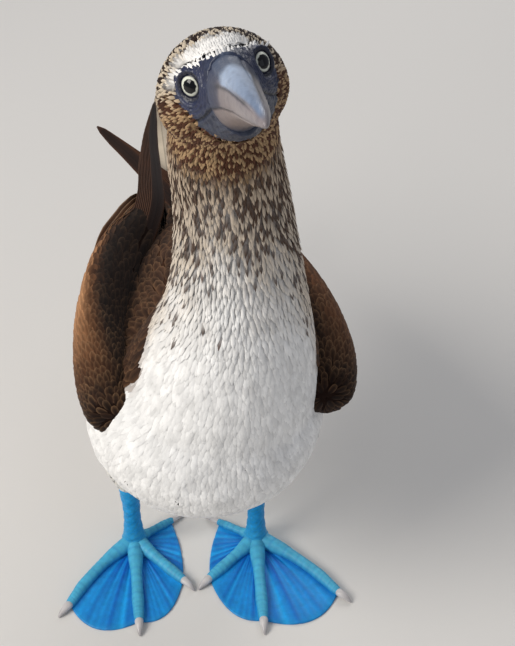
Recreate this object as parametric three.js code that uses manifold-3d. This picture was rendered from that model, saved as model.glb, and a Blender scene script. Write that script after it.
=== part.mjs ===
// Blue-footed booby standing on both feet, life size, head raised and turned to look up.
// Millimetres, +Z up. The bird faces -Y and its left side is +X.

import * as THREE from "three";
import { mergeVertices } from "three/addons/utils/BufferGeometryUtils.js";
import Module from "manifold-3d";

const wasm = await Module();
wasm.setup();

// Driving dimensions
const gap = 0.3;
const bodyYaw = 8;
const bodyMiddle = 11;
const torsoFront = -84;
const torsoLength = 336;
const torsoHalfWidth = 83;
const backHeight = 240;
const bellyHeight = 56;
const neckTop = 448;
const neckCut = 243;
const headAt = new THREE.Vector3(32.6, -82.5, 466);
const headYaw = 7.3;
const headPitch = 24.6;
const headRoll = 14.8;
const headHalfWidth = 34.5;
const crownShift = -2.5;
const billTip = 117;
const billBase = 16;
const eyeRadius = 8;
const eyeSpacing = 27.2;
const eyeSetBack = 5.3;
const eyeTurn = 42;
const faceDepth = 8;
const ankleHeight = 15;
const kneeHeight = 64;
const webThickness = 1.6;
const clawLength = 12;

const rad = THREE.MathUtils.degToRad;
const axisX = new THREE.Vector3(1, 0, 0);
const axisY = new THREE.Vector3(0, 1, 0);
const axisZ = new THREE.Vector3(0, 0, 1);

const finish = {
  plumageWhite: { color: "#e9e6df", roughness: 0.9, metalness: 0 },
  plumageNeck: { color: "#c9b59c", roughness: 0.9, metalness: 0 },
  plumageCrown: { color: "#7a5c42", roughness: 0.9, metalness: 0 },
  wingBrown: { color: "#5a3a26", roughness: 0.8, metalness: 0 },
  tailBrown: { color: "#8b7562", roughness: 0.8, metalness: 0 },
  faceSkin: { color: "#3c4a72", roughness: 0.5, metalness: 0 },
  billHorn: { color: "#a3a6b4", roughness: 0.4, metalness: 0 },
  footBlue: { color: "#3fa9d8", roughness: 0.5, metalness: 0 },
  clawHorn: { color: "#c8c4c4", roughness: 0.4, metalness: 0 },
  eyeGloss: { color: "#eef0e0", roughness: 0.1, metalness: 0 },
};

// A closed geometry becomes a solid whose faces point out
function solid(geometry) {
  const bare = geometry.clone();
  bare.deleteAttribute("normal");
  bare.deleteAttribute("uv");
  const merged = mergeVertices(bare, 1e-4);
  const position = merged.attributes.position;
  const index = Array.from(merged.index.array);
  const kept = [];
  for (let i = 0; i < index.length; i += 3) {
    const [a, b, c] = index.slice(i, i + 3);
    if (a !== b && b !== c && c !== a) {
      kept.push(a, b, c);
    }
  }
  if (signedVolume(position, kept) < 0) {
    kept.reverse();
  }
  const mesh = new wasm.Mesh({
    numProp: 3,
    vertProperties: new Float32Array(position.array),
    triVerts: new Uint32Array(kept),
  });
  return new wasm.Manifold(mesh);
}

function signedVolume(position, index) {
  const [a, b, c] = [new THREE.Vector3(), new THREE.Vector3(), new THREE.Vector3()];
  let sum = 0;
  for (let i = 0; i < index.length; i += 3) {
    a.fromBufferAttribute(position, index[i]);
    b.fromBufferAttribute(position, index[i + 1]);
    c.fromBufferAttribute(position, index[i + 2]);
    sum += a.dot(b.cross(c)) / 6;
  }
  return sum;
}

// The largest closed surface of a solid, without loose scraps or sealed hollows
function largest(shape) {
  const pieces = shape.decompose();
  return pieces.reduce((best, piece) => (piece.volume() > best.volume() ? piece : best));
}

function join(shapes) {
  return shapes.reduce((sum, shape) => sum.add(shape));
}

// What lies beyond a plane, on the side that its normal points to
function beyond(shape, point, normal) {
  const unit = normal.clone().normalize();
  return shape.trimByPlane(unit.toArray(), point.dot(unit));
}

function moved(shape, matrix) {
  return shape.transform(matrix.toArray());
}

// A mesh of one closed body
function piece(name, shape, look) {
  const mesh = largest(shape).getMesh();
  const geometry = new THREE.BufferGeometry();
  const stride = mesh.numProp;
  const points = [];
  for (let i = 0; i < mesh.vertProperties.length; i += stride) {
    points.push(mesh.vertProperties[i], mesh.vertProperties[i + 1], mesh.vertProperties[i + 2]);
  }
  geometry.setAttribute("position", new THREE.Float32BufferAttribute(points, 3));
  geometry.setIndex(Array.from(mesh.triVerts));
  geometry.computeVertexNormals();
  const result = new THREE.Mesh(geometry, new THREE.MeshStandardMaterial(look));
  result.name = name;
  return result;
}

// A closed loft along its stations. Each station has a centre, a half width, the reach up
// and down from the centre, and a lean that turns the section about its centre.
function loft(stations, { sides, rings, across = axisX, up = axisZ, grow = 0 }) {
  const spine = new THREE.CatmullRomCurve3(stations.map((s) => s.at), false, "catmullrom");
  const squares = stations.map((s) => new THREE.Vector3(s.wide ** 2, s.up ** 2, s.down ** 2));
  const sizes = new THREE.CatmullRomCurve3(squares, false, "catmullrom");
  const leans = stations.map((s) => new THREE.Vector3(s.lean ?? 0, 0, 0));
  const leanCurve = new THREE.CatmullRomCurve3(leans, false, "catmullrom");
  const geometry = new THREE.SphereGeometry(1, sides, rings);
  const position = geometry.attributes.position;
  const stationLine = across.clone().cross(up);
  const point = new THREE.Vector3();
  for (let i = 0; i < position.count; i += 1) {
    point.fromBufferAttribute(position, i);
    const along = Math.acos(THREE.MathUtils.clamp(point.y, -1, 1)) / Math.PI;
    const angle = Math.atan2(point.z, point.x);
    const atPole = Math.hypot(point.x, point.z) < 1e-6;
    const square = sizes.getPoint(along);
    const [wide, high, low] = square.toArray().map((s) => Math.sqrt(Math.max(s, 0)) + grow);
    const section = atPole ? 0 : 1;
    const turn = rad(leanCurve.getPoint(along).x);
    const side = across.clone().applyAxisAngle(stationLine, turn);
    const rise = up.clone().applyAxisAngle(stationLine, turn);
    const reach = Math.sin(angle) > 0 ? high : low;
    const place = spine.getPoint(along);
    place.addScaledVector(side, section * wide * Math.cos(angle));
    place.addScaledVector(rise, section * reach * Math.sin(angle));
    position.setXYZ(i, place.x, place.y, place.z);
  }
  return solid(geometry);
}

function station(x, y, z, wide, up, down, lean = 0) {
  return { at: new THREE.Vector3(x, y, z), wide, up, down, lean };
}

const bodyMatrix = new THREE.Matrix4().makeRotationZ(rad(bodyYaw)).setPosition(bodyMiddle, 0, 0);
const headTurn = new THREE.Euler(rad(-headPitch), rad(-headRoll), rad(headYaw), "ZXY");
const headMatrix = new THREE.Matrix4().makeRotationFromEuler(headTurn).setPosition(headAt);
const intoHead = headMatrix.clone().invert();

// Trunk: length fraction, half-width fraction, top and bottom as fractions of the depth
function torsoShape(grow) {
  const depth = backHeight - bellyHeight;
  const rows = [
    [0, 0, 0.6, 0.6],
    [0.03, 0.46, 0.8, 0.46],
    [0.09, 0.75, 0.93, 0.34],
    [0.18, 0.95, 1, 0.245],
    [0.28, 1, 0.98, 0.15],
    [0.4, 0.94, 0.95, 0.08],
    [0.52, 0.79, 0.91, 0.11],
    [0.64, 0.59, 0.86, 0.26],
    [0.76, 0.42, 0.77, 0.43],
    [0.88, 0.3, 0.69, 0.54],
    [0.96, 0.22, 0.65, 0.575],
    [1, 0, 0.61, 0.61],
  ];
  const stations = rows.map(([along, wide, top, bottom]) => {
    const middle = bellyHeight + (depth * (top + bottom)) / 2;
    const half = (depth * (top - bottom)) / 2;
    return station(0, torsoFront + torsoLength * along, middle, torsoHalfWidth * wide, half, half);
  });
  return moved(loft(stations, { sides: 26, rings: 18, grow }), bodyMatrix);
}

// Neck: its centre line leans toward the left side and forward at the head
function neckShape(grow) {
  const stations = [
    station(30, -66, neckTop, 0, 0, 0),
    station(30, -60, 434, 27, 27, 26),
    station(29.5, -46, 404, 31, 32, 29),
    station(33, -34, 364, 34, 33, 31),
    station(35, -29, 326, 38, 37, 34),
    station(34.5, -24, 286, 45, 44, 42),
    station(27.5, -16, 243, 58, 57, 55),
    station(20, -8, 205, 68, 68, 66),
    station(14, 0, 170, 69, 72, 70),
    station(12, 5, 135, 0, 0, 0),
  ];
  const front = axisY.clone().negate();
  return loft(stations, { sides: 24, rings: 16, across: axisX, up: front, grow });
}

// Head in its own frame: X left, Y back, Z up, origin midway between the eyes
function headShape(grow) {
  const rows = [
    [-44, -6, 0, -6, -6],
    [-38, -6, 8, 2, -20],
    [-26, -7, 10.5, 7, -25],
    [-13, -8, 13, 12, -29],
    [0, -9, 20, 18, -32.5],
    [13, -10, 28.5, 21.5, -35.5],
    [27, -11, headHalfWidth, 22, -37],
    [40, -12, 30, 18, -36],
    [50, -12, 20, 7, -31],
    [57, -13, 0, -13, -13],
  ];
  const stations = rows.map(([y, z, wide, top, bottom]) => {
    const puffed = y > 0 ? crownShift : 0;
    return station(puffed, y, z, wide, top - z, z - bottom);
  });
  return loft(stations, { sides: 24, rings: 16, grow });
}

// Bill in the head's frame, whole, from inside the face to the tip
function billShape() {
  const rows = [
    [0, -9, 0, -9, -9],
    [-10, -9, 13, 11, -27],
    [-24, -9, 11.2, 7, -24.5],
    [-42, -9, 9.6, 3.8, -21.5],
    [-62, -9, 8, 1, -18.6],
    [-82, -9.5, 6.4, -2, -16.6],
    [-100, -10.5, 4.6, -5, -15.4],
    [-110, -11.5, 2.9, -7.8, -15],
    [-billTip, -13.5, 0, -13.5, -13.5],
  ];
  const stations = rows.map(([y, z, wide, top, bottom]) => {
    return station(0, y, z, wide, top - z, z - bottom);
  });
  return loft(stations, { sides: 18, rings: 14 });
}

// A thin curved sheet along the line of the mouth, from behind the gape past the tip
function mouthSheet() {
  const line = new THREE.SplineCurve([
    new THREE.Vector2(faceDepth + 4, -19),
    new THREE.Vector2(-4, -15.5),
    new THREE.Vector2(-14, -12),
    new THREE.Vector2(-42, -10),
    new THREE.Vector2(-72, -10.2),
    new THREE.Vector2(-98, -12.6),
    new THREE.Vector2(-billTip - 4, -17),
  ]);
  const points = line.getPoints(24);
  const lower = points.map((p) => new THREE.Vector2(p.x, p.y - gap / 2));
  const upper = points.map((p) => new THREE.Vector2(p.x, p.y + gap / 2)).reverse();
  const sheetWidth = 80;
  const shape = new THREE.Shape([...lower, ...upper]);
  const geometry = new THREE.ExtrudeGeometry(shape, { depth: sheetWidth, bevelEnabled: false });
  geometry.translate(0, 0, -sheetWidth / 2);
  const turn = new THREE.Matrix4().makeBasis(axisY, axisZ, axisX);
  geometry.applyMatrix4(turn);
  return solid(geometry);
}

// Edge of the bare face seen from the front, pushed out by grow
function facePrism(grow) {
  const half = [
    [8, 10.5],
    [13, 8.5],
    [19, 9],
    [24, 6],
    [26, 0],
    [25, -7],
    [21.5, -13],
    [20, -18],
    [14.5, -25.5],
    [7.5, -30],
  ];
  const right = half.map(([x, z]) => [-x, z]).reverse();
  const loop = [[0, 11], ...half, [0, -31.5], ...right];
  const outline = loop.map(([x, z]) => {
    const from = new THREE.Vector2(x, z + 9);
    return from.setLength(from.length() + grow).sub(new THREE.Vector2(0, 9));
  });
  const length = billTip;
  const shape = new THREE.Shape(new THREE.SplineCurve([...outline, outline[0]]).getPoints(32));
  const geometry = new THREE.ExtrudeGeometry(shape, { depth: length, bevelEnabled: false });
  const turn = new THREE.Matrix4().makeBasis(axisX, axisZ, axisY.clone().negate());
  geometry.applyMatrix4(turn);
  geometry.translate(0, faceDepth + grow, 0);
  return solid(geometry);
}

function eyeCentre(side) {
  return new THREE.Vector3((side * eyeSpacing) / 2, eyeSetBack, 0);
}

function eyeAim(side) {
  return new THREE.Vector3(side * Math.sin(rad(eyeTurn)), -Math.cos(rad(eyeTurn)), 0);
}

function eyeBall(side, radius) {
  const geometry = new THREE.SphereGeometry(radius, 14, 10);
  const turn = new THREE.Quaternion().setFromUnitVectors(axisY, eyeAim(side));
  geometry.applyQuaternion(turn);
  const centre = eyeCentre(side);
  geometry.translate(centre.x, centre.y, centre.z);
  return solid(geometry);
}

// Ring of bare lid round an eye
function lidRing(side) {
  const geometry = new THREE.TorusGeometry(6.8, 1.9, 6, 16);
  const turn = new THREE.Quaternion().setFromUnitVectors(axisZ, eyeAim(side));
  geometry.applyQuaternion(turn);
  const centre = eyeCentre(side).addScaledVector(eyeAim(side), 5.2);
  geometry.translate(centre.x, centre.y, centre.z);
  return solid(geometry);
}

// Room in front of an eye, widening outward, that the flesh stays out of
function eyeOpening(side) {
  const depth = 14;
  const geometry = new THREE.CylinderGeometry(12, 6.2, depth, 16);
  geometry.translate(0, depth / 2, 0);
  const turn = new THREE.Quaternion().setFromUnitVectors(axisY, eyeAim(side));
  geometry.applyQuaternion(turn);
  const centre = eyeCentre(side).addScaledVector(eyeAim(side), 4.4);
  geometry.translate(centre.x, centre.y, centre.z);
  return solid(geometry);
}

function makeHead(neck) {
  const neckHere = moved(neck, intoHead);
  const neckPlane = new THREE.Vector3(0, 26, -30);
  const neckNormal = new THREE.Vector3(0, -0.35, 0.94);
  const whole = headShape(0).add(neckHere);
  const flesh = beyond(whole, neckPlane, neckNormal);
  const group = new THREE.Group();
  group.position.copy(headAt);
  group.rotation.copy(headTurn);
  const baseFace = new THREE.Vector3(0, -billBase, 0);
  const faceSide = baseFace.clone().addScaledVector(axisY, gap / 2);
  const billSide = baseFace.clone().addScaledVector(axisY, -gap / 2);
  const bare = beyond(headShape(0).intersect(facePrism(0)), faceSide, axisY);
  const lids = join([lidRing(-1), lidRing(1)]);
  const eyeRoom = join([eyeBall(-1, eyeRadius + gap), eyeBall(1, eyeRadius + gap)]);
  const sheet = mouthSheet();
  const openings = join([eyeOpening(-1), eyeOpening(1)]);
  const face = bare.subtract(openings).add(lids).subtract(eyeRoom).subtract(sheet);
  const [upperFace, lowerFace] = halves(face);
  const feathered = flesh.subtract(facePrism(gap)).subtract(eyeRoom).subtract(openings);
  const lidRoom = join([lidRing(-1), lidRing(1)]);
  const bill = beyond(billShape(), billSide, axisY.clone().negate()).subtract(sheet);
  const [upperBill, lowerBill] = halves(bill);
  group.add(piece("head", feathered.subtract(lidRoom), finish.plumageCrown));
  group.add(piece("face_skin", upperFace, finish.faceSkin));
  group.add(piece("throat_skin", lowerFace, finish.faceSkin));
  group.add(piece("bill_upper", upperBill, finish.billHorn));
  group.add(piece("bill_lower", lowerBill, finish.billHorn));
  group.add(piece("eye_right", eyeBall(-1, eyeRadius), finish.eyeGloss));
  group.add(piece("eye_left", eyeBall(1, eyeRadius), finish.eyeGloss));
  return group;
}

// The two largest pieces of a parted shape, the upper one first
function halves(shape) {
  const sorted = shape.decompose().sort((a, b) => b.volume() - a.volume());
  const pair = sorted.slice(0, 2);
  const height = (s) => s.boundingBox().max[2] + s.boundingBox().min[2];
  return pair.sort((a, b) => height(b) - height(a));
}

function makeNeck(neck, torso) {
  const neckPoint = new THREE.Vector3(0, 26, -30 - gap).applyMatrix4(headMatrix);
  const normal = new THREE.Vector3(0, 0.35, -0.94).transformDirection(headMatrix);
  const cutLow = new THREE.Vector3(0, 0, neckCut + gap / 2);
  const above = beyond(neck.add(torso), cutLow, axisZ);
  const headHere = moved(headShape(gap), headMatrix);
  const short = beyond(above, neckPoint, normal);
  const joinPlane = beyond(headHere, neckPoint, normal.clone().negate());
  return piece("neck", short.subtract(joinPlane), finish.plumageNeck);
}

function makeTorso(neck, torso) {
  const cutHigh = new THREE.Vector3(0, 0, neckCut - gap / 2);
  const below = beyond(torso.add(neck), cutHigh, axisZ.clone().negate());
  return piece("torso", below, finish.plumageWhite);
}

// Folded wing in the body's frame; side is -1 on the right and 1 on the left
function wingStations(rows, side, spread) {
  return rows.map(([y, x, z, wide, up, down, lean]) => {
    const out = spread * THREE.MathUtils.clamp(1 - y / 160, 0, 1);
    return station(side * (x + out), y, z, wide, up, down, side * lean);
  });
}

const armRows = [
  [-37, 58, 204, 0, 0, 0, 0],
  [-30, 61, 203, 18, 17, 19, 0],
  [0, 65, 204, 20.5, 27, 28, 4],
  [40, 66, 204, 18.5, 32, 33, 10],
  [90, 59, 205, 15.5, 29, 34, 20],
  [140, 48, 204, 11, 22, 31, 32],
  [185, 32, 201, 7, 13, 24, 42],
  [215, 22, 198, 4, 8, 15, 46],
  [232, 16, 196, 0, 0, 0, 46],
];

const leftHandRows = [
  [60, 66, 180, 0, 0, 0, 10],
  [85, 60, 182, 3, 14, 14, 20],
  [140, 42, 190, 3, 12, 14, 35],
  [200, 18, 192, 2, 8, 9, 48],
  [250, -4, 186.5, 1.6, 8, 8, 52],
  [300, -26, 186, 1.5, 8, 7, 52],
  [342, -49, 188, 1.1, 4.5, 4, 52],
  [362, -59, 187, 0, 0, 0, 52],
];
const rightHandRows = [
  [60, 66, 184, 0, 0, 0, 10],
  [85, 60, 186, 3, 14, 14, 20],
  [140, 42, 194, 3, 12, 14, 35],
  [200, 22, 204, 2, 8, 9, 46],
  [250, 18, 207, 1.6, 8, 8, 40],
  [300, 16, 206, 1.5, 8, 7, 34],
  [350, 11, 204, 1.1, 4.5, 4, 30],
  [372, 8, 203, 0, 0, 0, 30],
];

// Arm and folded hand of one wing, joined, out to the tip of the longest primary
function wingShape(side, spread, handRows) {
  const arm = loft(wingStations(armRows, side, spread), { sides: 22, rings: 22 });
  const hand = loft(wingStations(handRows, side, spread), { sides: 12, rings: 22 });
  return arm.add(hand);
}

// The same shape fattened by about the gap in every direction
function roomFor(shape) {
  const steps = [axisX, axisY, axisZ].flatMap((axis) => [axis, axis.clone().negate()]);
  return join([shape, ...steps.map((step) => shape.translate(step.clone().multiplyScalar(gap).toArray()))]);
}

// Tail as one tapered form, from its root under the rump to the tip of the middle pair
function tailShape() {
  const tailRoot = 196;
  const tailLift = (y) => 168 + 0.0006 * (y - tailRoot) ** 2;
  const rows = [
    [tailRoot, 0, 0],
    [214, 19, 4],
    [240, 24, 3],
    [275, 24, 2.4],
    [307, 22, 2],
    [345, 16, 1.6],
    [382, 9, 1.2],
    [402, 0, 0],
  ];
  const stations = rows.map(([y, wide, thick]) => station(0, y, tailLift(y), wide, thick, thick));
  return loft(stations, { sides: 14, rings: 18 });
}

function makeWings(flesh) {
  const fleshHere = moved(flesh, bodyMatrix.clone().invert());
  const group = new THREE.Group();
  group.applyMatrix4(bodyMatrix);
  const leftSpread = 18;
  const tail = tailShape().subtract(fleshHere);
  const taken = fleshHere.add(roomFor(tail));
  const right = wingShape(-1, 0, rightHandRows).subtract(taken);
  const left = wingShape(1, leftSpread, leftHandRows).subtract(taken);
  const parts = [
    ["wing_right", right, finish.wingBrown],
    ["wing_left", left, finish.wingBrown],
    ["tail", tail, finish.tailBrown],
  ];
  parts.forEach(([name, shape, look]) => group.add(piece(name, shape, look)));
  return group;
}

// Toe angles turn from straight ahead toward the left side of the bird, in degrees
const feet = {
  right: {
    at: [-50.5, 20.6],
    outer: { angle: -35.7, length: 88, bow: -5 },
    middle: { angle: 7.1, length: 88.5 },
    inner: { angle: 46.4, length: 68.5 },
    hind: { angle: 126.5, length: 47.5 },
  },
  left: {
    at: [45.8, 22.7],
    outer: { angle: 50.3, length: 94, bow: 5 },
    middle: { angle: 4.3, length: 89 },
    inner: { angle: -42.4, length: 65.5 },
    hind: { angle: -119.6, length: 47 },
  },
};
const toeNames = ["outer", "middle", "inner", "hind"];

function toeWay(toe) {
  return new THREE.Vector3(Math.sin(rad(toe.angle)), -Math.cos(rad(toe.angle)), 0);
}

function toeShape(toe) {
  const end = toe.length - clawLength;
  const thick = toe.length < 60 ? 0.72 : 1;
  const rows = [
    [-9, 4, 0, 0, 0],
    [0, 5, 7.4, 7.4, 7],
    [end * 0.35, 3.8, 5.6, 5, 5],
    [end * 0.7, 3.4, 5, 4.2, 4.6],
    [end * 0.94, 3.2, 4.4, 3.6, 4.4],
    [end + 3, 3, 0, 0, 0],
  ];
  const bow = toe.bow ?? 0;
  const stations = rows.map(([along, z, wide, up, down]) => {
    const across = bow * Math.sin((Math.PI * THREE.MathUtils.clamp(along, 0, end)) / end);
    return station(across, -along, z, wide * thick, up * thick, down * thick);
  });
  const lengthways = loft(stations, { sides: 10, rings: 10 });
  return moved(lengthways, new THREE.Matrix4().makeRotationZ(rad(toe.angle)));
}

function clawShape(toe) {
  const start = toe.length - clawLength;
  const thick = toe.length < 60 ? 0.75 : 1;
  const rows = [
    [start - 3, 4, 0, 0, 0],
    [start, 4, 3.2, 2.6, 3],
    [start + 4, 4, 2.8, 2.3, 2.8],
    [start + 9, 2.8, 1.7, 1.5, 1.8],
    [start + clawLength, 1.2, 0, 0, 0],
  ];
  const stations = rows.map(([along, z, wide, up, down]) => {
    return station(0, -along, z * thick, wide * thick, up * thick, down * thick);
  });
  const straight = loft(stations, { sides: 6, rings: 7 });
  return moved(straight, new THREE.Matrix4().makeRotationZ(rad(toe.angle)));
}

// Web between neighbouring toes, its outer side bowed out with the outer toe
function webShape(foot) {
  const tips = toeNames.map((name) => {
    const toe = foot[name];
    return toeWay(toe).multiplyScalar(toe.length - clawLength - 1.2);
  });
  const shape = new THREE.Shape();
  const outer = foot.outer;
  const outward = toeWay(outer).applyAxisAngle(axisZ, Math.PI / 2).multiplyScalar(2 * outer.bow);
  const side = tips[0].clone().multiplyScalar(0.5).add(outward);
  shape.moveTo(0, 0);
  shape.quadraticCurveTo(side.x, side.y, tips[0].x, tips[0].y);
  const fullness = [0, 0.7, 0.7, 0.6];
  for (let i = 1; i < tips.length; i += 1) {
    const bow = tips[i - 1].clone().add(tips[i]).multiplyScalar(fullness[i]);
    shape.quadraticCurveTo(bow.x, bow.y, tips[i].x, tips[i].y);
  }
  shape.closePath();
  const geometry = new THREE.ExtrudeGeometry(shape, {
    depth: webThickness,
    bevelEnabled: false,
    curveSegments: 4,
  });
  geometry.translate(0, 0, 0.8);
  return solid(geometry);
}

function tarsusShape() {
  const stations = [
    station(0, 0, 2, 0, 0, 0),
    station(0, 0, 7, 9, 9, 8),
    station(0, -0.5, 15, 8, 8, 7.5),
    station(0, 0.5, 30, 6.6, 6.6, 6.6),
    station(0, 1.5, 46, 6.8, 7, 7),
    station(0, 2.5, kneeHeight, 8, 8, 8),
    station(0, 3, kneeHeight + 10, 0, 0, 0),
  ];
  return loft(stations, { sides: 12, rings: 12, across: axisX, up: axisY });
}

function thighShape() {
  const stations = [
    station(0, 2, kneeHeight - 12, 0, 0, 0),
    station(0, 2.5, kneeHeight, 9, 9, 9),
    station(0, 3, kneeHeight + 14, 15, 17, 14),
    station(0, 5, kneeHeight + 34, 20, 24, 18),
    station(0, 7, kneeHeight + 60, 0, 0, 0),
  ];
  return loft(stations, { sides: 16, rings: 12, across: axisX, up: axisY });
}

function makeLeg(name, flesh) {
  const foot = feet[name];
  const group = new THREE.Group();
  group.position.set(foot.at[0], foot.at[1], 0);
  const down = axisZ.clone().negate();
  const fleshHere = moved(flesh, new THREE.Matrix4().makeTranslation(-foot.at[0], -foot.at[1], 0));
  const level = (z) => new THREE.Vector3(0, 0, z);
  const floor = level(0);
  const half = gap / 2;
  const cutToes = toeNames.map((toeName) => {
    const toe = foot[toeName];
    const way = toeWay(toe);
    const cut = way.clone().multiplyScalar(toe.length - clawLength - half);
    return beyond(toeShape(toe), cut, way.clone().negate());
  });
  const tarsus = tarsusShape();
  const webbed = join([webShape(foot), ...cutToes, beyond(tarsus, level(ankleHeight - half), down)]);
  const claws = toeNames.map((toeName) => {
    const toe = foot[toeName];
    const way = toeWay(toe);
    const cut = way.clone().multiplyScalar(toe.length - clawLength + half);
    return beyond(beyond(clawShape(toe), cut, way), floor, axisZ);
  });
  const footShape = beyond(webbed, floor, axisZ);
  const shankTop = beyond(tarsus, level(kneeHeight - half), down).subtract(fleshHere);
  const shank = beyond(shankTop, level(ankleHeight + half), axisZ);
  const thigh = beyond(thighShape(), level(kneeHeight + half), axisZ).subtract(fleshHere);
  group.add(piece(`foot_${name}`, footShape, finish.footBlue));
  group.add(piece(`tarsus_${name}`, shank, finish.footBlue));
  group.add(piece(`thigh_${name}`, thigh, finish.plumageWhite));
  toeNames.forEach((toeName, i) => {
    group.add(piece(`claw_${name}_${toeName}`, claws[i], finish.clawHorn));
  });
  return group;
}

const bird = new THREE.Group();
const neck = neckShape(0);
const torso = torsoShape(0);
const fleshRoom = neckShape(gap).add(torsoShape(gap));
bird.add(makeHead(neck));
bird.add(makeNeck(neck, torso));
bird.add(makeTorso(neck, torso));
bird.add(makeWings(fleshRoom));
bird.add(makeLeg("right", fleshRoom));
bird.add(makeLeg("left", fleshRoom));

// The origin is the middle of the footprint of the whole bird, on the floor
bird.updateMatrixWorld(true);
const whole = new THREE.Box3().setFromObject(bird, true);
bird.position.set(-(whole.min.x + whole.max.x) / 2, -(whole.min.y + whole.max.y) / 2, -whole.min.z);

export default bird;
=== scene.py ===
"""Blue-footed booby, life size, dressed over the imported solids.

Lengths are in millimetres in the frame in which the shapes are described, until a mesh is made.
The bird faces -Y, its left side is +X and the floor is at Z 0.
"""

import math

import bpy
import numpy as np
from mathutils import Euler, Matrix, Vector
from mathutils.bvhtree import BVHTree


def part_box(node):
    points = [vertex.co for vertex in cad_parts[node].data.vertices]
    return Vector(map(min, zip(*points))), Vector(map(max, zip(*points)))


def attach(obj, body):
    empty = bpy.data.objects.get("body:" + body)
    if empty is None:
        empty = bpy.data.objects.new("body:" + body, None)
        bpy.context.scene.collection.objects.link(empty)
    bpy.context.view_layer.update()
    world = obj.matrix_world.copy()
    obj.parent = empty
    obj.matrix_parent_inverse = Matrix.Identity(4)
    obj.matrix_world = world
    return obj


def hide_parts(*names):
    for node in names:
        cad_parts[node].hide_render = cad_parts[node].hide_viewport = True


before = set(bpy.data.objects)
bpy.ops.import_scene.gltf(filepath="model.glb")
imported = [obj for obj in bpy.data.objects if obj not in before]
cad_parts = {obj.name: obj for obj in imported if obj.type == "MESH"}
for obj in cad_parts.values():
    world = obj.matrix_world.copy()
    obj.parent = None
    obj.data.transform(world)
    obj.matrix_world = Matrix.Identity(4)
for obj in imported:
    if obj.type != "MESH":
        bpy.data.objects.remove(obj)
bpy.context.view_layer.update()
rng = np.random.default_rng(7)

# Driving dimensions, the same as those of the solids
MM = 0.001
HEAD_AT = np.array([32.6, -82.5, 466.0])
HEAD_YAW = 7.3
HEAD_PITCH = 24.6
HEAD_ROLL = 14.8
BODY_YAW = 8.0
BODY_MIDDLE = 11.0
EYE_RADIUS = 8.0
EYE_SPACING = 27.2
EYE_SET_BACK = 5.3
EYE_TURN = 42.0
BILL_TIP = 117.0
WING_SPREAD = {"right": 0.0, "left": 18.0}
SIDE = {"right": -1.0, "left": 1.0}
CLAW_LENGTH = 12.0
KNEE_HEIGHT = 64.0

# Photograph's height and focal length in pixels, and the camera's place and tilt
PHOTO_HEIGHT = 646
FOCAL_PIXELS = 1136.0
CAMERA_AT = np.array([47.0, -560.0, 716.0])
CAMERA_TILT = 50.0


def head_rotation():
    """Turn of the head as a numpy matrix: yaw about Z, then pitch, then roll."""
    yaw = Matrix.Rotation(math.radians(HEAD_YAW), 3, "Z")
    pitch = Matrix.Rotation(math.radians(-HEAD_PITCH), 3, "X")
    roll = Matrix.Rotation(math.radians(-HEAD_ROLL), 3, "Y")
    return np.array(yaw @ pitch @ roll)


HEAD_TURN = head_rotation()
BODY_TURN = np.array(Matrix.Rotation(math.radians(BODY_YAW), 3, "Z"))


def box_middle(node):
    low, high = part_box(node)
    return np.array((low + high) / 2) / MM


def find_shift():
    """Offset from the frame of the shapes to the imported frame, from where the eyes are."""
    middle = (box_middle("eye_right") + box_middle("eye_left")) / 2
    wanted = HEAD_AT + HEAD_TURN @ np.array([0.0, EYE_SET_BACK, 0.0])
    shift = middle - wanted
    shift[2] = 0.0
    return shift


SHIFT = find_shift()


def from_head(points):
    return np.asarray(points) @ HEAD_TURN.T + HEAD_AT


def into_head(points):
    return (np.asarray(points) - HEAD_AT) @ HEAD_TURN


def from_body(points):
    return np.asarray(points) @ BODY_TURN.T + np.array([BODY_MIDDLE, 0.0, 0.0])


def into_body(points):
    return (np.asarray(points) - np.array([BODY_MIDDLE, 0.0, 0.0])) @ BODY_TURN


# Colour helpers


def tone(code):
    """Linear colour from a hex code."""
    values = np.array([int(code[i : i + 2], 16) / 255 for i in (1, 3, 5)])
    return np.where(values <= 0.04045, values / 12.92, ((values + 0.055) / 1.055) ** 2.4)


def smooth_step(low, high, value):
    share = np.clip((value - low) / (high - low), 0.0, 1.0)
    return share * share * (3 - 2 * share)


def bell(value, width):
    """1 at zero, falling off evenly to both sides."""
    return np.exp(-((value / width) ** 2))


def blend(first, second, share):
    """From the first colour to the second; either is one colour or one for each point."""
    share = np.asarray(share)[..., None]
    return first * (1 - share) + second * share


def waves(points, scale, seed):
    """Smooth, seeded noise between about -1 and 1 from a few crossing waves."""
    local = np.random.default_rng(seed)
    total = np.zeros(len(points))
    for _ in range(7):
        way = local.normal(size=3)
        way /= np.linalg.norm(way)
        rate = 2 * math.pi / scale
        total += np.sin(points @ way * rate * local.uniform(0.6, 1.5) + local.uniform(0, 6.3))
    return total / 3.2


# Mesh helpers


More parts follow.
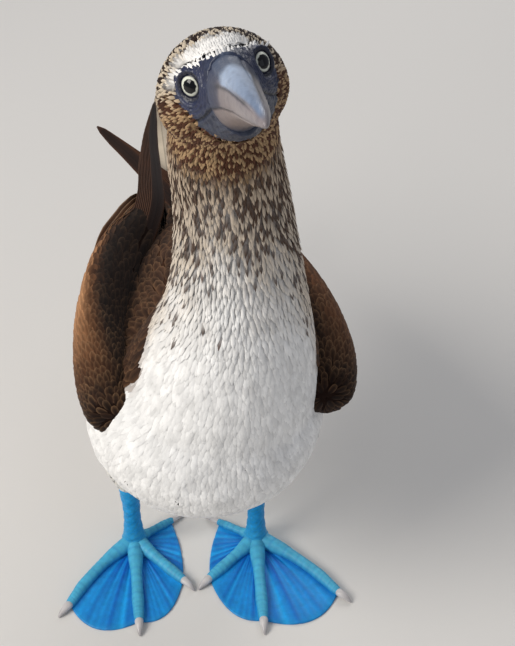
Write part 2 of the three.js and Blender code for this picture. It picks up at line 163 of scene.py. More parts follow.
def make_mesh(name, points, faces, colours=None, smooth=True, uv=None, normals=None):
    """A mesh object from arrays; faces is a list of arrays with 3 or 4 columns."""
    mesh = bpy.data.meshes.new(name)
    faces = [np.asarray(block, dtype=np.int32) for block in faces if len(block)]
    loops = np.concatenate([block.ravel() for block in faces])
    sizes = np.concatenate([np.full(len(block), block.shape[1], dtype=np.int32) for block in faces])
    starts = np.concatenate([[0], np.cumsum(sizes)[:-1]]).astype(np.int32)
    mesh.vertices.add(len(points))
    mesh.vertices.foreach_set("co", ((np.asarray(points) + SHIFT) * MM).astype(np.float32).ravel())
    mesh.loops.add(len(loops))
    mesh.loops.foreach_set("vertex_index", loops)
    mesh.polygons.add(len(sizes))
    mesh.polygons.foreach_set("loop_start", starts)
    mesh.update(calc_edges=True)
    mesh.validate()
    if smooth:
        mesh.polygons.foreach_set("use_smooth", np.ones(len(mesh.polygons), dtype=bool))
    if colours is not None:
        paint(mesh, colours)
    if uv is not None:
        layer = mesh.uv_layers.new(name="OFBake")
        layer.data.foreach_set("uv", np.asarray(uv, dtype=np.float32)[loops].ravel())
    if normals is not None:
        mesh.normals_split_custom_set_from_vertices(np.asarray(normals, dtype=np.float32))
    thing = bpy.data.objects.new(name, mesh)
    bpy.context.scene.collection.objects.link(thing)
    return thing


def paint(mesh, colours):
    attribute = mesh.color_attributes.new(name="Col", type="FLOAT_COLOR", domain="POINT")
    full = np.ones((len(mesh.vertices), 4), dtype=np.float32)
    full[:, :3] = colours
    attribute.data.foreach_set("color", full.ravel())


def points_of(mesh):
    flat = np.empty(len(mesh.vertices) * 3, dtype=np.float32)
    mesh.vertices.foreach_get("co", flat)
    return flat.reshape(-1, 3).astype(float) / MM - SHIFT


def triangles_of(mesh):
    mesh.calc_loop_triangles()
    flat = np.empty(len(mesh.loop_triangles) * 3, dtype=np.int32)
    mesh.loop_triangles.foreach_get("vertices", flat)
    return flat.reshape(-1, 3)


def node_arrays(names):
    """Points and triangles of CAD nodes, joined."""
    points = []
    triangles = []
    count = 0
    for name in names:
        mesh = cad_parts[name].data
        part = points_of(mesh)
        points.append(part)
        triangles.append(triangles_of(mesh) + count)
        count += len(part)
    return np.concatenate(points), np.concatenate(triangles)


def remeshed(name, nodes, voxel, passes):
    """One smooth closed skin over some CAD nodes, as points and triangles."""
    points, triangles = node_arrays(nodes)
    rough = make_mesh(name + "_rough", points, [triangles], smooth=False)
    modifier = rough.modifiers.new("remesh", "REMESH")
    modifier.mode = "VOXEL"
    modifier.voxel_size = voxel * MM
    graph = bpy.context.evaluated_depsgraph_get()
    mesh = bpy.data.meshes.new_from_object(rough.evaluated_get(graph))
    new_points = points_of(mesh)
    quads = np.array([tuple(polygon.vertices) for polygon in mesh.polygons], dtype=np.int32)
    edges = np.array([tuple(edge.vertices) for edge in mesh.edges], dtype=np.int32)
    bpy.data.objects.remove(rough)
    bpy.data.meshes.remove(mesh)
    return relaxed(new_points, edges, passes), quads


def relaxed(points, edges, passes):
    """Points smoothed without losing volume, by a pull in and a smaller push out."""
    count = np.bincount(edges.ravel(), minlength=len(points))[:, None]
    for step in range(passes * 2):
        weight = 0.6 if step % 2 == 0 else -0.61
        total = np.zeros_like(points)
        for axis in range(3):
            total[:, axis] = np.bincount(edges[:, 0], points[edges[:, 1], axis], len(points))
            total[:, axis] += np.bincount(edges[:, 1], points[edges[:, 0], axis], len(points))
        points = points + weight * (total / count - points)
    return points


def normals_of(points, faces):
    """Unit normals at the points of a mesh."""
    corners = [points[faces[:, k]] for k in range(faces.shape[1])]
    if faces.shape[1] == 4:
        flat = np.cross(corners[2] - corners[0], corners[3] - corners[1])
    else:
        flat = np.cross(corners[1] - corners[0], corners[2] - corners[0])
    total = np.zeros_like(points)
    for k in range(faces.shape[1]):
        for axis in range(3):
            total[:, axis] += np.bincount(faces[:, k], flat[:, axis], len(points))
    return unit(total)


def unit(vectors):
    return vectors / np.maximum(np.linalg.norm(vectors, axis=-1, keepdims=True), 1e-9)


def catmull(table, shares):
    """Rows of a table read smoothly at shares of its length from 0 to 1."""
    table = np.asarray(table, dtype=float)
    last = len(table) - 1
    place = np.clip(shares, 0, 1) * last
    start = np.minimum(place.astype(int), last - 1)
    t = (place - start)[:, None]
    before = 2 * table[0] - table[1]
    after = 2 * table[-1] - table[-2]
    first = np.where((start >= 1)[:, None], table[np.maximum(start - 1, 0)], before)
    p1 = table[start]
    p2 = table[start + 1]
    fourth = np.where((start + 2 <= last)[:, None], table[np.minimum(start + 2, last)], after)
    m1 = (p2 - first) / 2
    m2 = (fourth - p1) / 2
    return ((2 * t**3 - 3 * t**2 + 1) * p1 + (t**3 - 2 * t**2 + t) * m1
            + (-2 * t**3 + 3 * t**2) * p2 + (t**3 - t**2) * m2)


def read_rows(rows, shares):
    """Loft rows of x, y, z, wide, up, down read at shares; sections go by their squares."""
    table = np.array(rows, dtype=float)
    centres = catmull(table[:, :3], shares)
    squares = catmull(table[:, 3:6] ** 2, shares)
    return centres, np.sqrt(np.maximum(squares, 0.0))


def loft(rows, sides, rings, across, up, bump=None):
    """Closed loft; returns points, quads and triangles, with bump(share, angle) added outward."""
    shares = (1 - np.cos(np.linspace(0, math.pi, rings + 2)[1:-1])) / 2
    shares = 0.5 * shares + 0.5 * np.linspace(0, 1, rings + 2)[1:-1]
    centres, sizes = read_rows(rows, shares)
    angles = np.linspace(0, 2 * math.pi, sides, endpoint=False)
    share_grid, angle_grid = np.meshgrid(shares, angles, indexing="ij")
    extra = bump(share_grid, angle_grid) if bump else np.zeros_like(share_grid)
    reach = np.where(np.sin(angle_grid) > 0, sizes[:, 1:2], sizes[:, 2:3])
    wide = (sizes[:, 0:1] + extra) * np.cos(angle_grid)
    high = (reach + extra) * np.sin(angle_grid)
    points = centres[:, None, :] + wide[..., None] * np.asarray(across) + high[..., None] * np.asarray(up)
    ends = np.array([rows[0][:3], rows[-1][:3]], dtype=float)
    points = np.concatenate([points.reshape(-1, 3), ends])
    return points, *tube_faces(sides, rings)


def tube_faces(sides, rings):
    ring = np.arange(rings - 1)[:, None] * sides
    a = np.arange(sides)
    b = (a + 1) % sides
    quads = np.stack([ring + a, ring + b, ring + sides + b, ring + sides + a], axis=-1).reshape(-1, 4)
    first = rings * sides
    last = first + 1
    top = (rings - 1) * sides
    starts = np.stack([b, a, np.full(sides, first)], axis=-1)
    finishes = np.stack([top + a, top + b, np.full(sides, last)], axis=-1)
    return quads, np.concatenate([starts, finishes])


# Materials


def add_node(tree, kind, **values):
    """A shader node with some of its inputs set; a name's low line stands for a space."""
    node = tree.nodes.new(kind)
    for name, value in values.items():
        node.inputs[name.replace("_", " ")].default_value = value
    return node


def new_material(name, roughness, coat=0.0, sheen=0.0, specular=0.5):
    material = bpy.data.materials.new(name)
    material.use_nodes = True
    shader = material.node_tree.nodes["Principled BSDF"]
    shader.inputs["Roughness"].default_value = roughness
    shader.inputs["Coat Weight"].default_value = coat
    shader.inputs["Coat Roughness"].default_value = 0.12
    shader.inputs["Sheen Weight"].default_value = sheen
    shader.inputs["Specular IOR Level"].default_value = specular
    return material, shader


def painted_material(name, roughness, grain, variation, bump_scale, bump_depth, **options):
    """Colour from the mesh's own painting, varied by fine noise, with a noise bump."""
    material, shader = new_material(name, roughness, **options)
    tree = material.node_tree
    colour = tree.nodes.new("ShaderNodeAttribute")
    colour.attribute_name = "Col"
    place = tree.nodes.new("ShaderNodeTexCoord")
    noise = add_node(tree, "ShaderNodeTexNoise", Scale=grain, Detail=4.0)
    span = add_node(tree, "ShaderNodeMapRange", From_Min=0.3, From_Max=0.7,
                    To_Min=1 - variation, To_Max=1 + variation)
    mix = tree.nodes.new("ShaderNodeVectorMath")
    mix.operation = "SCALE"
    fine = add_node(tree, "ShaderNodeTexNoise", Scale=bump_scale, Detail=3.0)
    bump = add_node(tree, "ShaderNodeBump", Distance=bump_depth * MM, Strength=0.6)
    link = tree.links.new
    link(place.outputs["Object"], noise.inputs["Vector"])
    link(place.outputs["Object"], fine.inputs["Vector"])
    link(noise.outputs["Fac"], span.inputs["Value"])
    link(colour.outputs["Color"], mix.inputs[0])
    link(span.outputs["Result"], mix.inputs["Scale"])
    link(mix.outputs["Vector"], shader.inputs["Base Color"])
    link(fine.outputs["Fac"], bump.inputs["Height"])
    link(bump.outputs["Normal"], shader.inputs["Normal"])
    return material


materials = {
    "feather": painted_material("feather", 0.78, 90.0, 0.1, 900.0, 0.25, sheen=0.03, specular=0.12),
    "quill": painted_material("quill", 0.6, 60.0, 0.16, 700.0, 0.2, specular=0.2),
    "under_coat": painted_material("under_coat", 0.9, 200.0, 0.15, 600.0, 0.4, specular=0.1),
    "bare_face": painted_material("bare_face", 0.42, 350.0, 0.16, 900.0, 0.35, specular=0.5),
    "bill": painted_material("bill", 0.38, 160.0, 0.1, 500.0, 0.25, coat=0.12, specular=0.5),
    "foot": painted_material("foot", 0.5, 220.0, 0.12, 1000.0, 0.35, coat=0.04, specular=0.3),
    "claw": painted_material("claw", 0.35, 200.0, 0.08, 400.0, 0.1, coat=0.1, specular=0.5),
    "eye": painted_material("eye", 0.07, 900.0, 0.06, 300.0, 0.01, coat=0.12, specular=0.3),
}


def dress(thing, look, slot, *nodes):
    """Give a piece its material and its body, and hide the CAD nodes that it stands for; the slot is not
    used.
    """
    thing.data.materials.clear()
    thing.data.materials.append(materials[look])
    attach(thing, "root")
    if nodes:
        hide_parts(*nodes)
    return thing


# The coat: tufts are thin closed vanes with three sides, laid along a surface


TUFT_PATCH = 0.003
TUFTS_IN_A_PIECE = 12000


class Surface:
    """A surface that feathers are laid on: nearest points and their normals."""

    def __init__(self, points, faces):
        self.points = points
        self.faces = faces
        self.normals = normals_of(points, faces)
        self.tree = BVHTree.FromPolygons(points.tolist(), faces.tolist())

    def nearest(self, places):
        spots = np.empty_like(places)
        ways = np.empty_like(places)
        for i, place in enumerate(places):
            spot, way, _, _ = self.tree.find_nearest(place)
            spots[i] = spot
            ways[i] = way
        return spots, ways

    def scattered(self, spacing_at, keep_at):
        """Roots spread evenly, as far apart as spacing_at says, where keep_at is true."""
        triangles = self.faces
        if triangles.shape[1] == 4:
            triangles = np.concatenate([triangles[:, [0, 1, 2]], triangles[:, [0, 2, 3]]])
        a, b, c = (self.points[triangles[:, k]] for k in range(3))
        areas = np.linalg.norm(np.cross(b - a, c - a), axis=1) / 2
        middles = (a + b + c) / 3
        spacing = spacing_at(middles)
        areas = areas * keep_at(middles)
        expected = 2.6 * areas / spacing**2
        counts = np.floor(expected + rng.random(len(areas))).astype(int)
        owner = np.repeat(np.arange(len(areas)), counts)
        u = np.sqrt(rng.random(len(owner)))[:, None]
        v = rng.random(len(owner))[:, None]
        places = a[owner] * (1 - u) + b[owner] * u * (1 - v) + c[owner] * u * v
        order = rng.permutation(len(owner))
        return thinned(places[order], spacing[owner][order])


def thinned(places, spacing):
    """Places taken in turn where none taken before is nearer than the spacing."""
    cell = float(spacing.max())
    keys = np.floor(places / cell).astype(int)
    taken = {}
    kept = []
    for i in range(len(places)):
        x, y, z = keys[i]
        place = places[i]
        limit = spacing[i] ** 2
        free = True
        for key in ((x + dx, y + dy, z + dz) for dx in (-1, 0, 1) for dy in (-1, 0, 1) for dz in (-1, 0, 1)):
            for other in taken.get(key, ()):
                gap = place - other
                if gap[0] * gap[0] + gap[1] * gap[1] + gap[2] * gap[2] < limit:
                    free = False
                    break
            if not free:
                break
        if free:
            taken.setdefault((x, y, z), []).append(place)
            kept.append(i)
    return places[np.array(kept)]


def along_skin(way, normals):
    """Directions turned so that they run along the skin."""
    return unit(way - normals * (way * normals).sum(axis=1, keepdims=True))


class Straight:
    """Takes a surface's place for feathers that run straight on from their roots."""

    def __init__(self, normals):
        self.normals = normals

    def nearest(self, places):
        return places, self.normals


def slab_faces(rows, columns):
    """Quads of a closed slab whose upper points come first, then its lower points, row by row."""
    under = rows * columns
    a = (np.arange(rows - 1)[:, None] * columns + np.arange(columns - 1)).ravel()
    upper = np.stack([a, a + 1, a + columns + 1, a + columns], axis=1)
    left = np.arange(rows - 1) * columns
    right = left + columns - 1
    first = np.arange(columns - 1)
    last = first + under - columns
    return np.concatenate([
        upper,
        upper[:, ::-1] + under,
        np.stack([left, left + columns, left + columns + under, left + under], axis=1),
        np.stack([right + columns, right, right + under, right + columns + under], axis=1),
        np.stack([first + 1, first, first + under, first + 1 + under], axis=1),
        np.stack([last, last + 1, last + 1 + under, last + under], axis=1),
    ])


def march(surface, roots, lie, length, steps):
    """Feathers walked along a surface: step number, places, normals, ways onward and across."""
    way = lie
    spots = roots
    for k in range(len(steps)):
        onward = length * (steps[k] - steps[max(k - 1, 0)])
        spots, normals = surface.nearest(spots + way * onward[:, None])
        way = along_skin(way, normals)
        yield k, spots, normals, way, np.cross(way, normals)


def lay_tufts(surface, roots, lie, length, width, lift, rise, paint_root, paint_tip, patches):
    """Points, quads, triangles, colours, bake places and normals of a coat of tufts."""
    steps = np.array([0.0, 0.3, 0.68, 1.0])
    widths = np.array([0.55, 1.0, 0.78, 0.0])
    heights = np.array([0.5, 1.0, 0.7, 0.0])
    levels = np.array([-0.35, 0.25, 0.7, 1.0])
    sunk = 0.4
    count = len(roots)
    rings = []
    shades = []
    uvs = []
    turns = []
    for k, spots, normals, way, across in march(surface, roots, lie, length, steps):
        centre = spots + normals * (lift * levels[k] - sunk * (k == 0))[:, None]
        half = (width / 2 * widths[k])[:, None]
        ridge = normals * (width * rise * heights[k])[:, None]
        tilt = across * (4.5 * rise)[:, None]
        colour = blend(paint_root, paint_tip, np.full(count, min(1.0, steps[k] * 1.15)))
        if k < 3:
            rings.append(np.stack([centre - across * half, centre + across * half, centre + ridge], axis=1))
            shades.append(np.repeat(colour[:, None, :], 3, axis=1))
            offset = np.array([[-0.5, steps[k]], [0.5, steps[k]], [0.0, steps[k]]]) * TUFT_PATCH
            uvs.append(patches[:, None, :] + offset)
            turns.append(np.stack([normals - tilt, normals + tilt, normals], axis=1))
        else:
            rings.append(centre[:, None, :])
            shades.append(colour[:, None, :])
            uvs.append(patches[:, None, :] + np.array([[0.0, TUFT_PATCH]]))
            turns.append(unit(normals + 0.3 * way)[:, None, :])
    points = np.concatenate(rings, axis=1).reshape(-1, 3)
    colours = np.concatenate(shades, axis=1).reshape(-1, 3)
    uv = np.concatenate(uvs, axis=1).reshape(-1, 2)
    base = np.arange(count)[:, None] * 10
    quads = []
    for k in range(2):
        for a, b in ((0, 1), (1, 2), (2, 0)):
            corners = np.array([3 * k + 3 + a, 3 * k + 3 + b, 3 * k + b, 3 * k + a])
            quads.append(base + corners)
    ends = [base + np.array(corners) for corners in ((7, 6, 9), (8, 7, 9), (6, 8, 9), (0, 1, 2))]
    turns = unit(np.concatenate(turns, axis=1).reshape(-1, 3))
    return points, np.concatenate(quads), np.concatenate(ends), colours, uv, turns


def coat_piece(name, surface, look, slot, roots, *tuft_options):
    points, quads, triangles, colours, uv, normals = lay_tufts(surface, roots, *tuft_options)
    thing = make_mesh(name, points, [quads, triangles], colours, uv=uv, normals=normals)
    return dress(thing, look, slot)


# Plumage: where feathers grow, which way they lie and how they are coloured

SPINE = np.array([
    [33, -60, 476], [32, -45, 478], [30, -32, 462], [29.5, -30, 430], [31, -34, 400], [33, -32, 364],
    [35, -28, 326], [34, -23, 286], [28, -14, 250], [20, 0, 222], [14, 30, 195], [8, 80, 178],
    [0, 140, 172], [-9, 190, 170], [-18, 240, 168],
], dtype=float)

CROWN_DARK = tone("#2b1a12")
CROWN_CREAM = tone("#d9c9b2")
FOREHEAD_WHITE = tone("#f1efec")
CHEEK_BROWN = tone("#5a3826")
CHEEK_BUFF = tone("#b4946f")
NECK_CREAM = tone("#e0d2bf")
NECK_DARK = tone("#4a3322")
BREAST_WHITE = tone("#f3f2f0")
BELLY_CREAM = tone("#e2dccf")
BACK_BROWN = tone("#3f281b")
BACK_FRINGE = tone("#8d6a4c")
WING_BROWN = tone("#5f3c25")
WING_LIT = tone("#bd8a60")
# Dark brown of the flight feathers, also painted on the coverts as shade on the wing's inner face and front
# end.
WING_DARK = tone("#1e100a")
WING_FRINGE = tone("#b08a66")
TAIL_PALE = tone("#c9bba6")
TAIL_BROWN = tone("#4d3a2c")


SPINE_STEPS = 60
SPINE_SHARES = np.linspace(0, 1, SPINE_STEPS)
SPINE_POINTS = catmull(SPINE, SPINE_SHARES)


def spine_way(points):
    """Direction along the spine from head to tail near each point, and the share along it."""
    ways = unit(np.gradient(SPINE_POINTS, axis=0))
    gaps = np.linalg.norm(points[:, None, :] - SPINE_POINTS[None], axis=2)
    weights = 1 / (gaps**4 + 1.0)
    weights /= weights.sum(axis=1, keepdims=True)
    return unit(weights @ ways), weights @ SPINE_SHARES


def lie_of(points):
    """Which way the coat lies: out from the bill on the head, then along the spine."""
    along, _ = spine_way(points)
    local = into_head(points)
    from_bill = unit(points - from_head([[0.0, -26.0, -10.0]]))
    near = 1 - smooth_step(26, 62, np.linalg.norm(local - np.array([0.0, 4.0, -6.0]), axis=1))
    down = np.array([0.0, 0.25, -1.0])
    front = smooth_step(0, 60, -into_body(points)[:, 1]) * (points[:, 2] < 300)
    way = along * (1 - near)[:, None] + from_bill * (1.3 * near)[:, None] + down * (0.7 * front)[:, None]
    sway = waves(points, 34, 11)[:, None] * np.array([0.12, 0.0, 0.04])
    return unit(way + sway)


def head_share(points):
    """1 on the head, 0 on the neck and below."""
    local = into_head(points)
    return 1 - smooth_step(44, 60, np.linalg.norm(local - np.array([-2.0, 14.0, -4.0]), axis=1))


def back_share(points):
    """1 on the brown back and shoulders, 0 on the white front and underside."""
    local = into_body(points)
    edge = np.interp(local[:, 1], [-70, -40, 0, 60, 200, 260], [262, 232, 205, 198, 178, 168])
    height = local[:, 2] + 5 * waves(points, 40, 3)
    behind = smooth_step(-34, -10, local[:, 1] + 0.2 * np.abs(local[:, 0] - 18))
    top = 1 - smooth_step(262, 300, points[:, 2] - 0.9 * local[:, 1])
    return smooth_step(edge - 4, edge + 5, height) * behind * top


def neck_fade(points):
    """1 where the neck is cream and brown, falling to 0 on the white breast."""
    local = points - np.array([34.0, -24.0, 0.0])
    side = np.abs(local[:, 0]) / 45
    behind = smooth_step(-40, 30, local[:, 1])
    height = points[:, 2] + 42 * side + 60 * behind + 12 * waves(points, 28, 5)
    return smooth_step(300, 412, height)


def coat_colours(points, seed):
    """Root and tip colours of tufts at some points, from the bird's markings."""
    local_rng = np.random.default_rng(seed)
    count = len(points)
    chance = local_rng.random(count)
    shade = local_rng.uniform(0.88, 1.08, count)[:, None]
    local = into_head(points)
    streak = 0.5 + 0.5 * waves(points @ np.diag([1.0, 0.55, 0.7]), 3.4, 21)
    # breast and belly
    belly = smooth_step(150, 80, points[:, 2])
    tip = blend(BREAST_WHITE, BELLY_CREAM, 0.7 * belly)
    root = tip * 0.93
    # neck hackles
    fade = neck_fade(points)
    dark = chance < 0.5 * fade**1.4 * (0.35 + streak)
    warm = smooth_step(330, 430, points[:, 2])
    hackle = blend(NECK_CREAM, CHEEK_BUFF, 0.6 * warm)
    tip = blend(tip, hackle, np.clip(fade * 1.4, 0, 1))
    tip = np.where(dark[:, None], NECK_DARK, tip)
    root = blend(root, NECK_DARK, 0.9 * fade**1.2)
    fleck = (chance > 0.993) & (points[:, 2] > 285) & (points[:, 2] < 340)
    tip[fleck] = CHEEK_BROWN
    # back
    back = back_share(points)
    tip = blend(tip, BACK_FRINGE, back)
    root = blend(root, BACK_BROWN, back)
    # head: crown, cheeks and the white band over the face
    head = head_share(points)
    crown_dark = (streak + 0.9 * (chance - 0.5)) > 0.45
    crown = np.where(crown_dark[:, None], CROWN_DARK, CROWN_CREAM)
    cheek_dark = (streak + 0.9 * (chance - 0.5)) > 0.5
    cheek = np.where(cheek_dark[:, None], CHEEK_BROWN, CHEEK_BUFF)
    low = smooth_step(6, -12, local[:, 2] + 0.15 * local[:, 1])
    fur = blend(crown, cheek, low)
    band = forehead_band(local)
    fur = blend(fur, FOREHEAD_WHITE, band)
    shade = 1 + (shade - 1) * (1 - band * head)[:, None]
    tip = blend(tip, fur, head)
    root = blend(root, blend(fur * 0.5, FOREHEAD_WHITE, band), head)
    return root * shade, tip * shade


FACE_EDGE = np.array([
    [0, 11], [8, 10.5], [13, 8.5], [19, 9], [24, 6], [26, 0], [25, -7], [21.5, -13],
    [20, -18], [14.5, -25.5], [7.5, -30], [0, -31.5],
], dtype=float)


def face_reach(local):
    """How far outside the edge of the bare face a point is, seen from the front."""
    x = np.abs(local[:, 0])
    z = local[:, 2] + 9
    edge = FACE_EDGE + np.array([0.0, 9.0])
    order = np.argsort(np.arctan2(edge[:, 1], edge[:, 0]))
    angles = np.arctan2(edge[order, 1], edge[order, 0])
    reach = np.interp(np.arctan2(z, x), angles, np.linalg.norm(edge[order], axis=1))
    return np.hypot(x, z) - reach


def forehead_band(local):
    """The white band over the bare face."""
    over = face_reach(local)
    above = smooth_step(-2, 5, local[:, 2])
    ragged = 1.8 * waves(local, 6, 31)
    front = 1 - smooth_step(-4, 6, local[:, 1] - 0.38 * np.abs(local[:, 0]) + 1.6 * ragged)
    return above * (1 - smooth_step(5.0, 9.0, over + ragged)) * front


def spine_patch(points):
    """Place of each point on an unwrap of the skin: turn about the spine and share along it."""
    along, share = spine_way(points)
    last = SPINE_STEPS - 1
    out = points - SPINE_POINTS[np.clip((share * last).astype(int), 0, last)]
    side = unit(np.cross(along, np.array([0.02, 0.6, 0.8])))
    other = np.cross(along, side)
    turn = np.arctan2((out * other).sum(axis=1), (out * side).sum(axis=1))
    return np.stack([0.01 + 0.97 * (turn / (2 * math.pi) + 0.5), 0.01 + 0.97 * share], axis=1)


def coat_depth(points):
    """How far the skin lies inside the outline of the coat."""
    head = head_share(points)
    neck = smooth_step(240, 330, points[:, 2]) * (1 - head)
    trunk = 1 - np.clip(head + neck, 0, 1)
    return 1.1 * head + 1.9 * neck + 1.3 * trunk


def coat_spacing(points):
    """Distance between feather roots, smallest beside the face."""
    local = into_head(points)
    beside = 1 - smooth_step(2, 12, face_reach(local))
    head = head_share(points)
    small = 1.4 - 0.3 * beside
    neck = np.interp(points[:, 2], [200, 260, 330, 420], [2.7, 2.7, 2.4, 1.9])
    trunk = 2.7 + 2.2 * back_share(points) + 1.0 * smooth_step(40, 140, into_body(points)[:, 1])
    lower = 1 - smooth_step(225, 265, points[:, 2])
    body = neck * (1 - lower) + trunk * lower
    return head * small + (1 - head) * body


def coat_skin():
    """One skin over head, neck, trunk and thighs, inside them by the coat's depth."""
    nodes = ("head", "neck", "torso", "thigh_right", "thigh_left")
    points, quads = remeshed("coat", nodes, 2.2, 8)
    normals = normals_of(points, quads)
    points = points - normals * coat_depth(points)[:, None]
    root, _ = coat_colours(points, 5)
    thing = make_mesh("skin", points, [quads], root)
    dress(thing, "under_coat", "plumage_white", *nodes)
    return Surface(points, quads)


def grow_coat(skin, face):
    """Small feathers over the whole skin, and a fringe that laps the bare face's edge."""
    def keep(places):
        local = into_head(places)
        bare = (face_reach(local) < -0.6) & (local[:, 1] < 10)
        hidden = (head_share(places) > 0.5) & bare
        return (~hidden).astype(float)

    roots = skin.scattered(coat_spacing, keep)
    lay_fringe(face)
    broad = back_share(roots) > 0.5
    back_coat(skin, roots[broad])
    roots = off_folds(skin, roots[~broad])
    spacing = coat_spacing(roots)
    head = head_share(roots)
    body = 1 - smooth_step(250, 330, roots[:, 2])
    length = spacing * (3.1 + 1.1 * (1 - head) + 0.8 * body) * rng.uniform(0.8, 1.2, len(roots))
    width = spacing * (1.0 + 0.5 * body + 0.2 * head) * rng.uniform(0.85, 1.15, len(roots))
    lift = coat_depth(roots) * (0.85 - 0.6 * body - 0.25 * head) * rng.uniform(0.75, 1.2, len(roots))
    rise = 0.2 - 0.14 * body
    root_paint, tip_paint = coat_colours(roots, 9)
    lie = lie_of(roots)
    lie = unit(lie + rng.normal(scale=0.07, size=lie.shape))
    patches = spine_patch(roots)
    order = np.argsort(-roots[:, 2])
    pieces = math.ceil(len(order) / TUFTS_IN_A_PIECE)
    for number, part in enumerate(np.array_split(order, pieces)):
        options = (lie[part], length[part], width[part], lift[part], rise[part],
                   root_paint[part], tip_paint[part], patches[part])
        slot = "plumage_crown" if number == 0 else "plumage_white"
        coat_piece(f"coat_{number}", skin, "feather", slot, roots[part], *options)


def off_folds(skin, roots):
    """Roots whose feathers don't run into a fold of the skin."""
    _, here = skin.nearest(roots)
    _, onward = skin.nearest(roots + along_skin(lie_of(roots), here) * 9)
    return roots[(here * onward).sum(axis=1) > 0.8]


def lay_fringe(face):
    """Tiny feathers rooted on the bare face's edge, which run straight out over its step."""
    def at_edge(places):
        local = into_head(places)
        reach = face_reach(local)
        return ((reach > -1.7) & (reach < 0.3) & (local[:, 1] < 8)).astype(float)

    roots = face.scattered(lambda places: np.full(len(places), 0.9), at_edge)
    roots, normals = face.nearest(roots)
    forward = unit(into_head(roots + normals) - into_head(roots))
    facing = (forward[:, 1] < -0.25) | (np.abs(forward[:, 0]) > 0.8)
    roots, normals = roots[facing], normals[facing]
    count = len(roots)
    lie = along_skin(lie_of(roots), normals)
    fall = unit(normals + 0.28 * lie)
    length = rng.uniform(3.6, 5.2, count)
    width = rng.uniform(1.3, 1.8, count)
    lift = rng.uniform(0.1, 0.4, count)
    colours = coat_colours(roots + lie * 2.0, 9)
    options = (lie, length, width, lift, np.full(count, 0.15))
    coat_piece("coat_fringe", Straight(fall), "feather", "plumage_crown", roots, *options,
               *colours, spine_patch(roots))


def back_coat(skin, roots):
    """Broad brown feathers with pale fringes on the back and shoulders."""
    count = len(roots)
    base = BACK_BROWN * rng.uniform(0.55, 1.15, count)[:, None]
    fringe = blend(base, BACK_FRINGE, rng.uniform(0.2, 0.6, count))
    length = rng.uniform(15, 21, count)
    width = rng.uniform(6.5, 8.5, count)
    lift = rng.uniform(0.7, 1.3, count)
    parts = lay_scales(skin, roots, lie_of(roots), length, width, lift, base, fringe, spine_patch(roots))
    scale_piece("coat_back", parts, "wing_brown")


# Head: bare face, bill and eyes, in the head's own frame

FACE_BLUE = tone("#283049")
# Dark slate of the face's mottling, also painted on the bill's left side as shade.
FACE_DARK = tone("#141833")
THROAT_BLUE = tone("#30374a")
LID_NAVY = tone("#20264a")
RIM_BLACK = tone("#07080d")
# Pale horn of the ridge, lightened further as a painted highlight.
BILL_PALE_AND_HIGHLIGHT = tone("#a6b6ce")
BILL_BLUE = tone("#75859f")
BILL_TAUPE = tone("#857c7e")
BILL_LOWER = tone("#857876")
# Painted shade for the mouth line, the gape crease and the bill's side grooves.
CREASE_SHADE = tone("#10131f")
IRIS_PALE = tone("#eef0e0")

MOUTH_LINE = np.array([
    [12, -19], [-4, -15.5], [-14, -12], [-42, -10], [-72, -10.2], [-98, -12.6], [-121, -17],
], dtype=float)

BILL_ROWS = [
    [0, -10, -9, 13, 20, 18],
    [0, -24, -9, 11.2, 16, 15.5],
    [0, -42, -9, 9.6, 12.8, 12.5],
    [0, -62, -9, 8, 10, 9.6],
    [0, -82, -9.5, 6.4, 7.5, 7.1],
    [0, -100, -10.5, 4.6, 5.5, 4.9],
    [0, -110, -11.5, 2.9, 3.7, 3.5],
    [0, -BILL_TIP, -13.5, 0, 0, 0],
]
BILL_SIDES = 120
BILL_RINGS = 150


def mouth_height(y):
    order = np.argsort(MOUTH_LINE[:, 0])
    return np.interp(y, MOUTH_LINE[order, 0], MOUTH_LINE[order, 1])


def eye_middle(side):
    return np.array([side * EYE_SPACING / 2, EYE_SET_BACK, 0.0])


def eye_way(side, turn=EYE_TURN):
    angle = math.radians(turn)
    return np.array([side * math.sin(angle), -math.cos(angle), 0.0])


def from_eye(local, side):
    """Distance from an eye's axis, turn about it and place along it, in the head's frame."""
    way = eye_way(side)
    out = local - eye_middle(side)
    along = out @ way
    off = out - along[:, None] * way
    across = np.cross(way, [0.0, 0.0, 1.0])
    return np.linalg.norm(off, axis=1), np.arctan2(off[:, 2], off @ across), along


def make_face():
    """Bare face and throat: fine skin with lid folds, a gape and small wrinkles."""
    nodes = ("face_skin", "throat_skin")
    points, quads = remeshed("face", nodes, 0.55, 3)
    local = into_head(points)
    normals = normals_of(local, quads)
    extra = 0.18 * waves(local, 3.2, 41) + 0.08 * waves(local, 1.2, 42)
    colours = face_paint(local)
    for side in (-1.0, 1.0):
        radius, turn, along = from_eye(local, side)
        near = (along > 0) * smooth_step(7.0, 8.4, radius) * (1 - smooth_step(12.5, 16.5, radius))
        folds = np.sin((radius + 0.5 * np.sin(2 * turn + 0.6)) * 2 * math.pi / 2.1)
        extra += 0.32 * near * folds
        # The navy lid skin, with painted shade deepening it in the hollows of the folds.
        colours = blend(colours, LID_NAVY, 0.72 * near * (0.55 - 0.45 * folds))
        rim = (along > 0) * (1 - smooth_step(6.6, 7.6, radius))
        colours = blend(colours, FACE_DARK * 0.6, rim)
    gape = np.abs(local[:, 2] - mouth_height(local[:, 1]) - 0.3)
    behind = smooth_step(-20, -12, local[:, 1])
    crease = (1 - smooth_step(0.0, 1.1, gape)) * behind
    ridge = bell(gape - 2.0, 0.9) * behind
    extra += -0.9 * crease + 0.45 * ridge
    # Painted shade: the gape crease is darkened.
    colours = blend(colours, CREASE_SHADE, 0.9 * crease)
    points = points + (normals * extra[:, None]) @ HEAD_TURN.T
    dress(make_mesh("face", points, [quads], colours), "bare_face", "face_skin", *nodes)
    return Surface(points, quads)


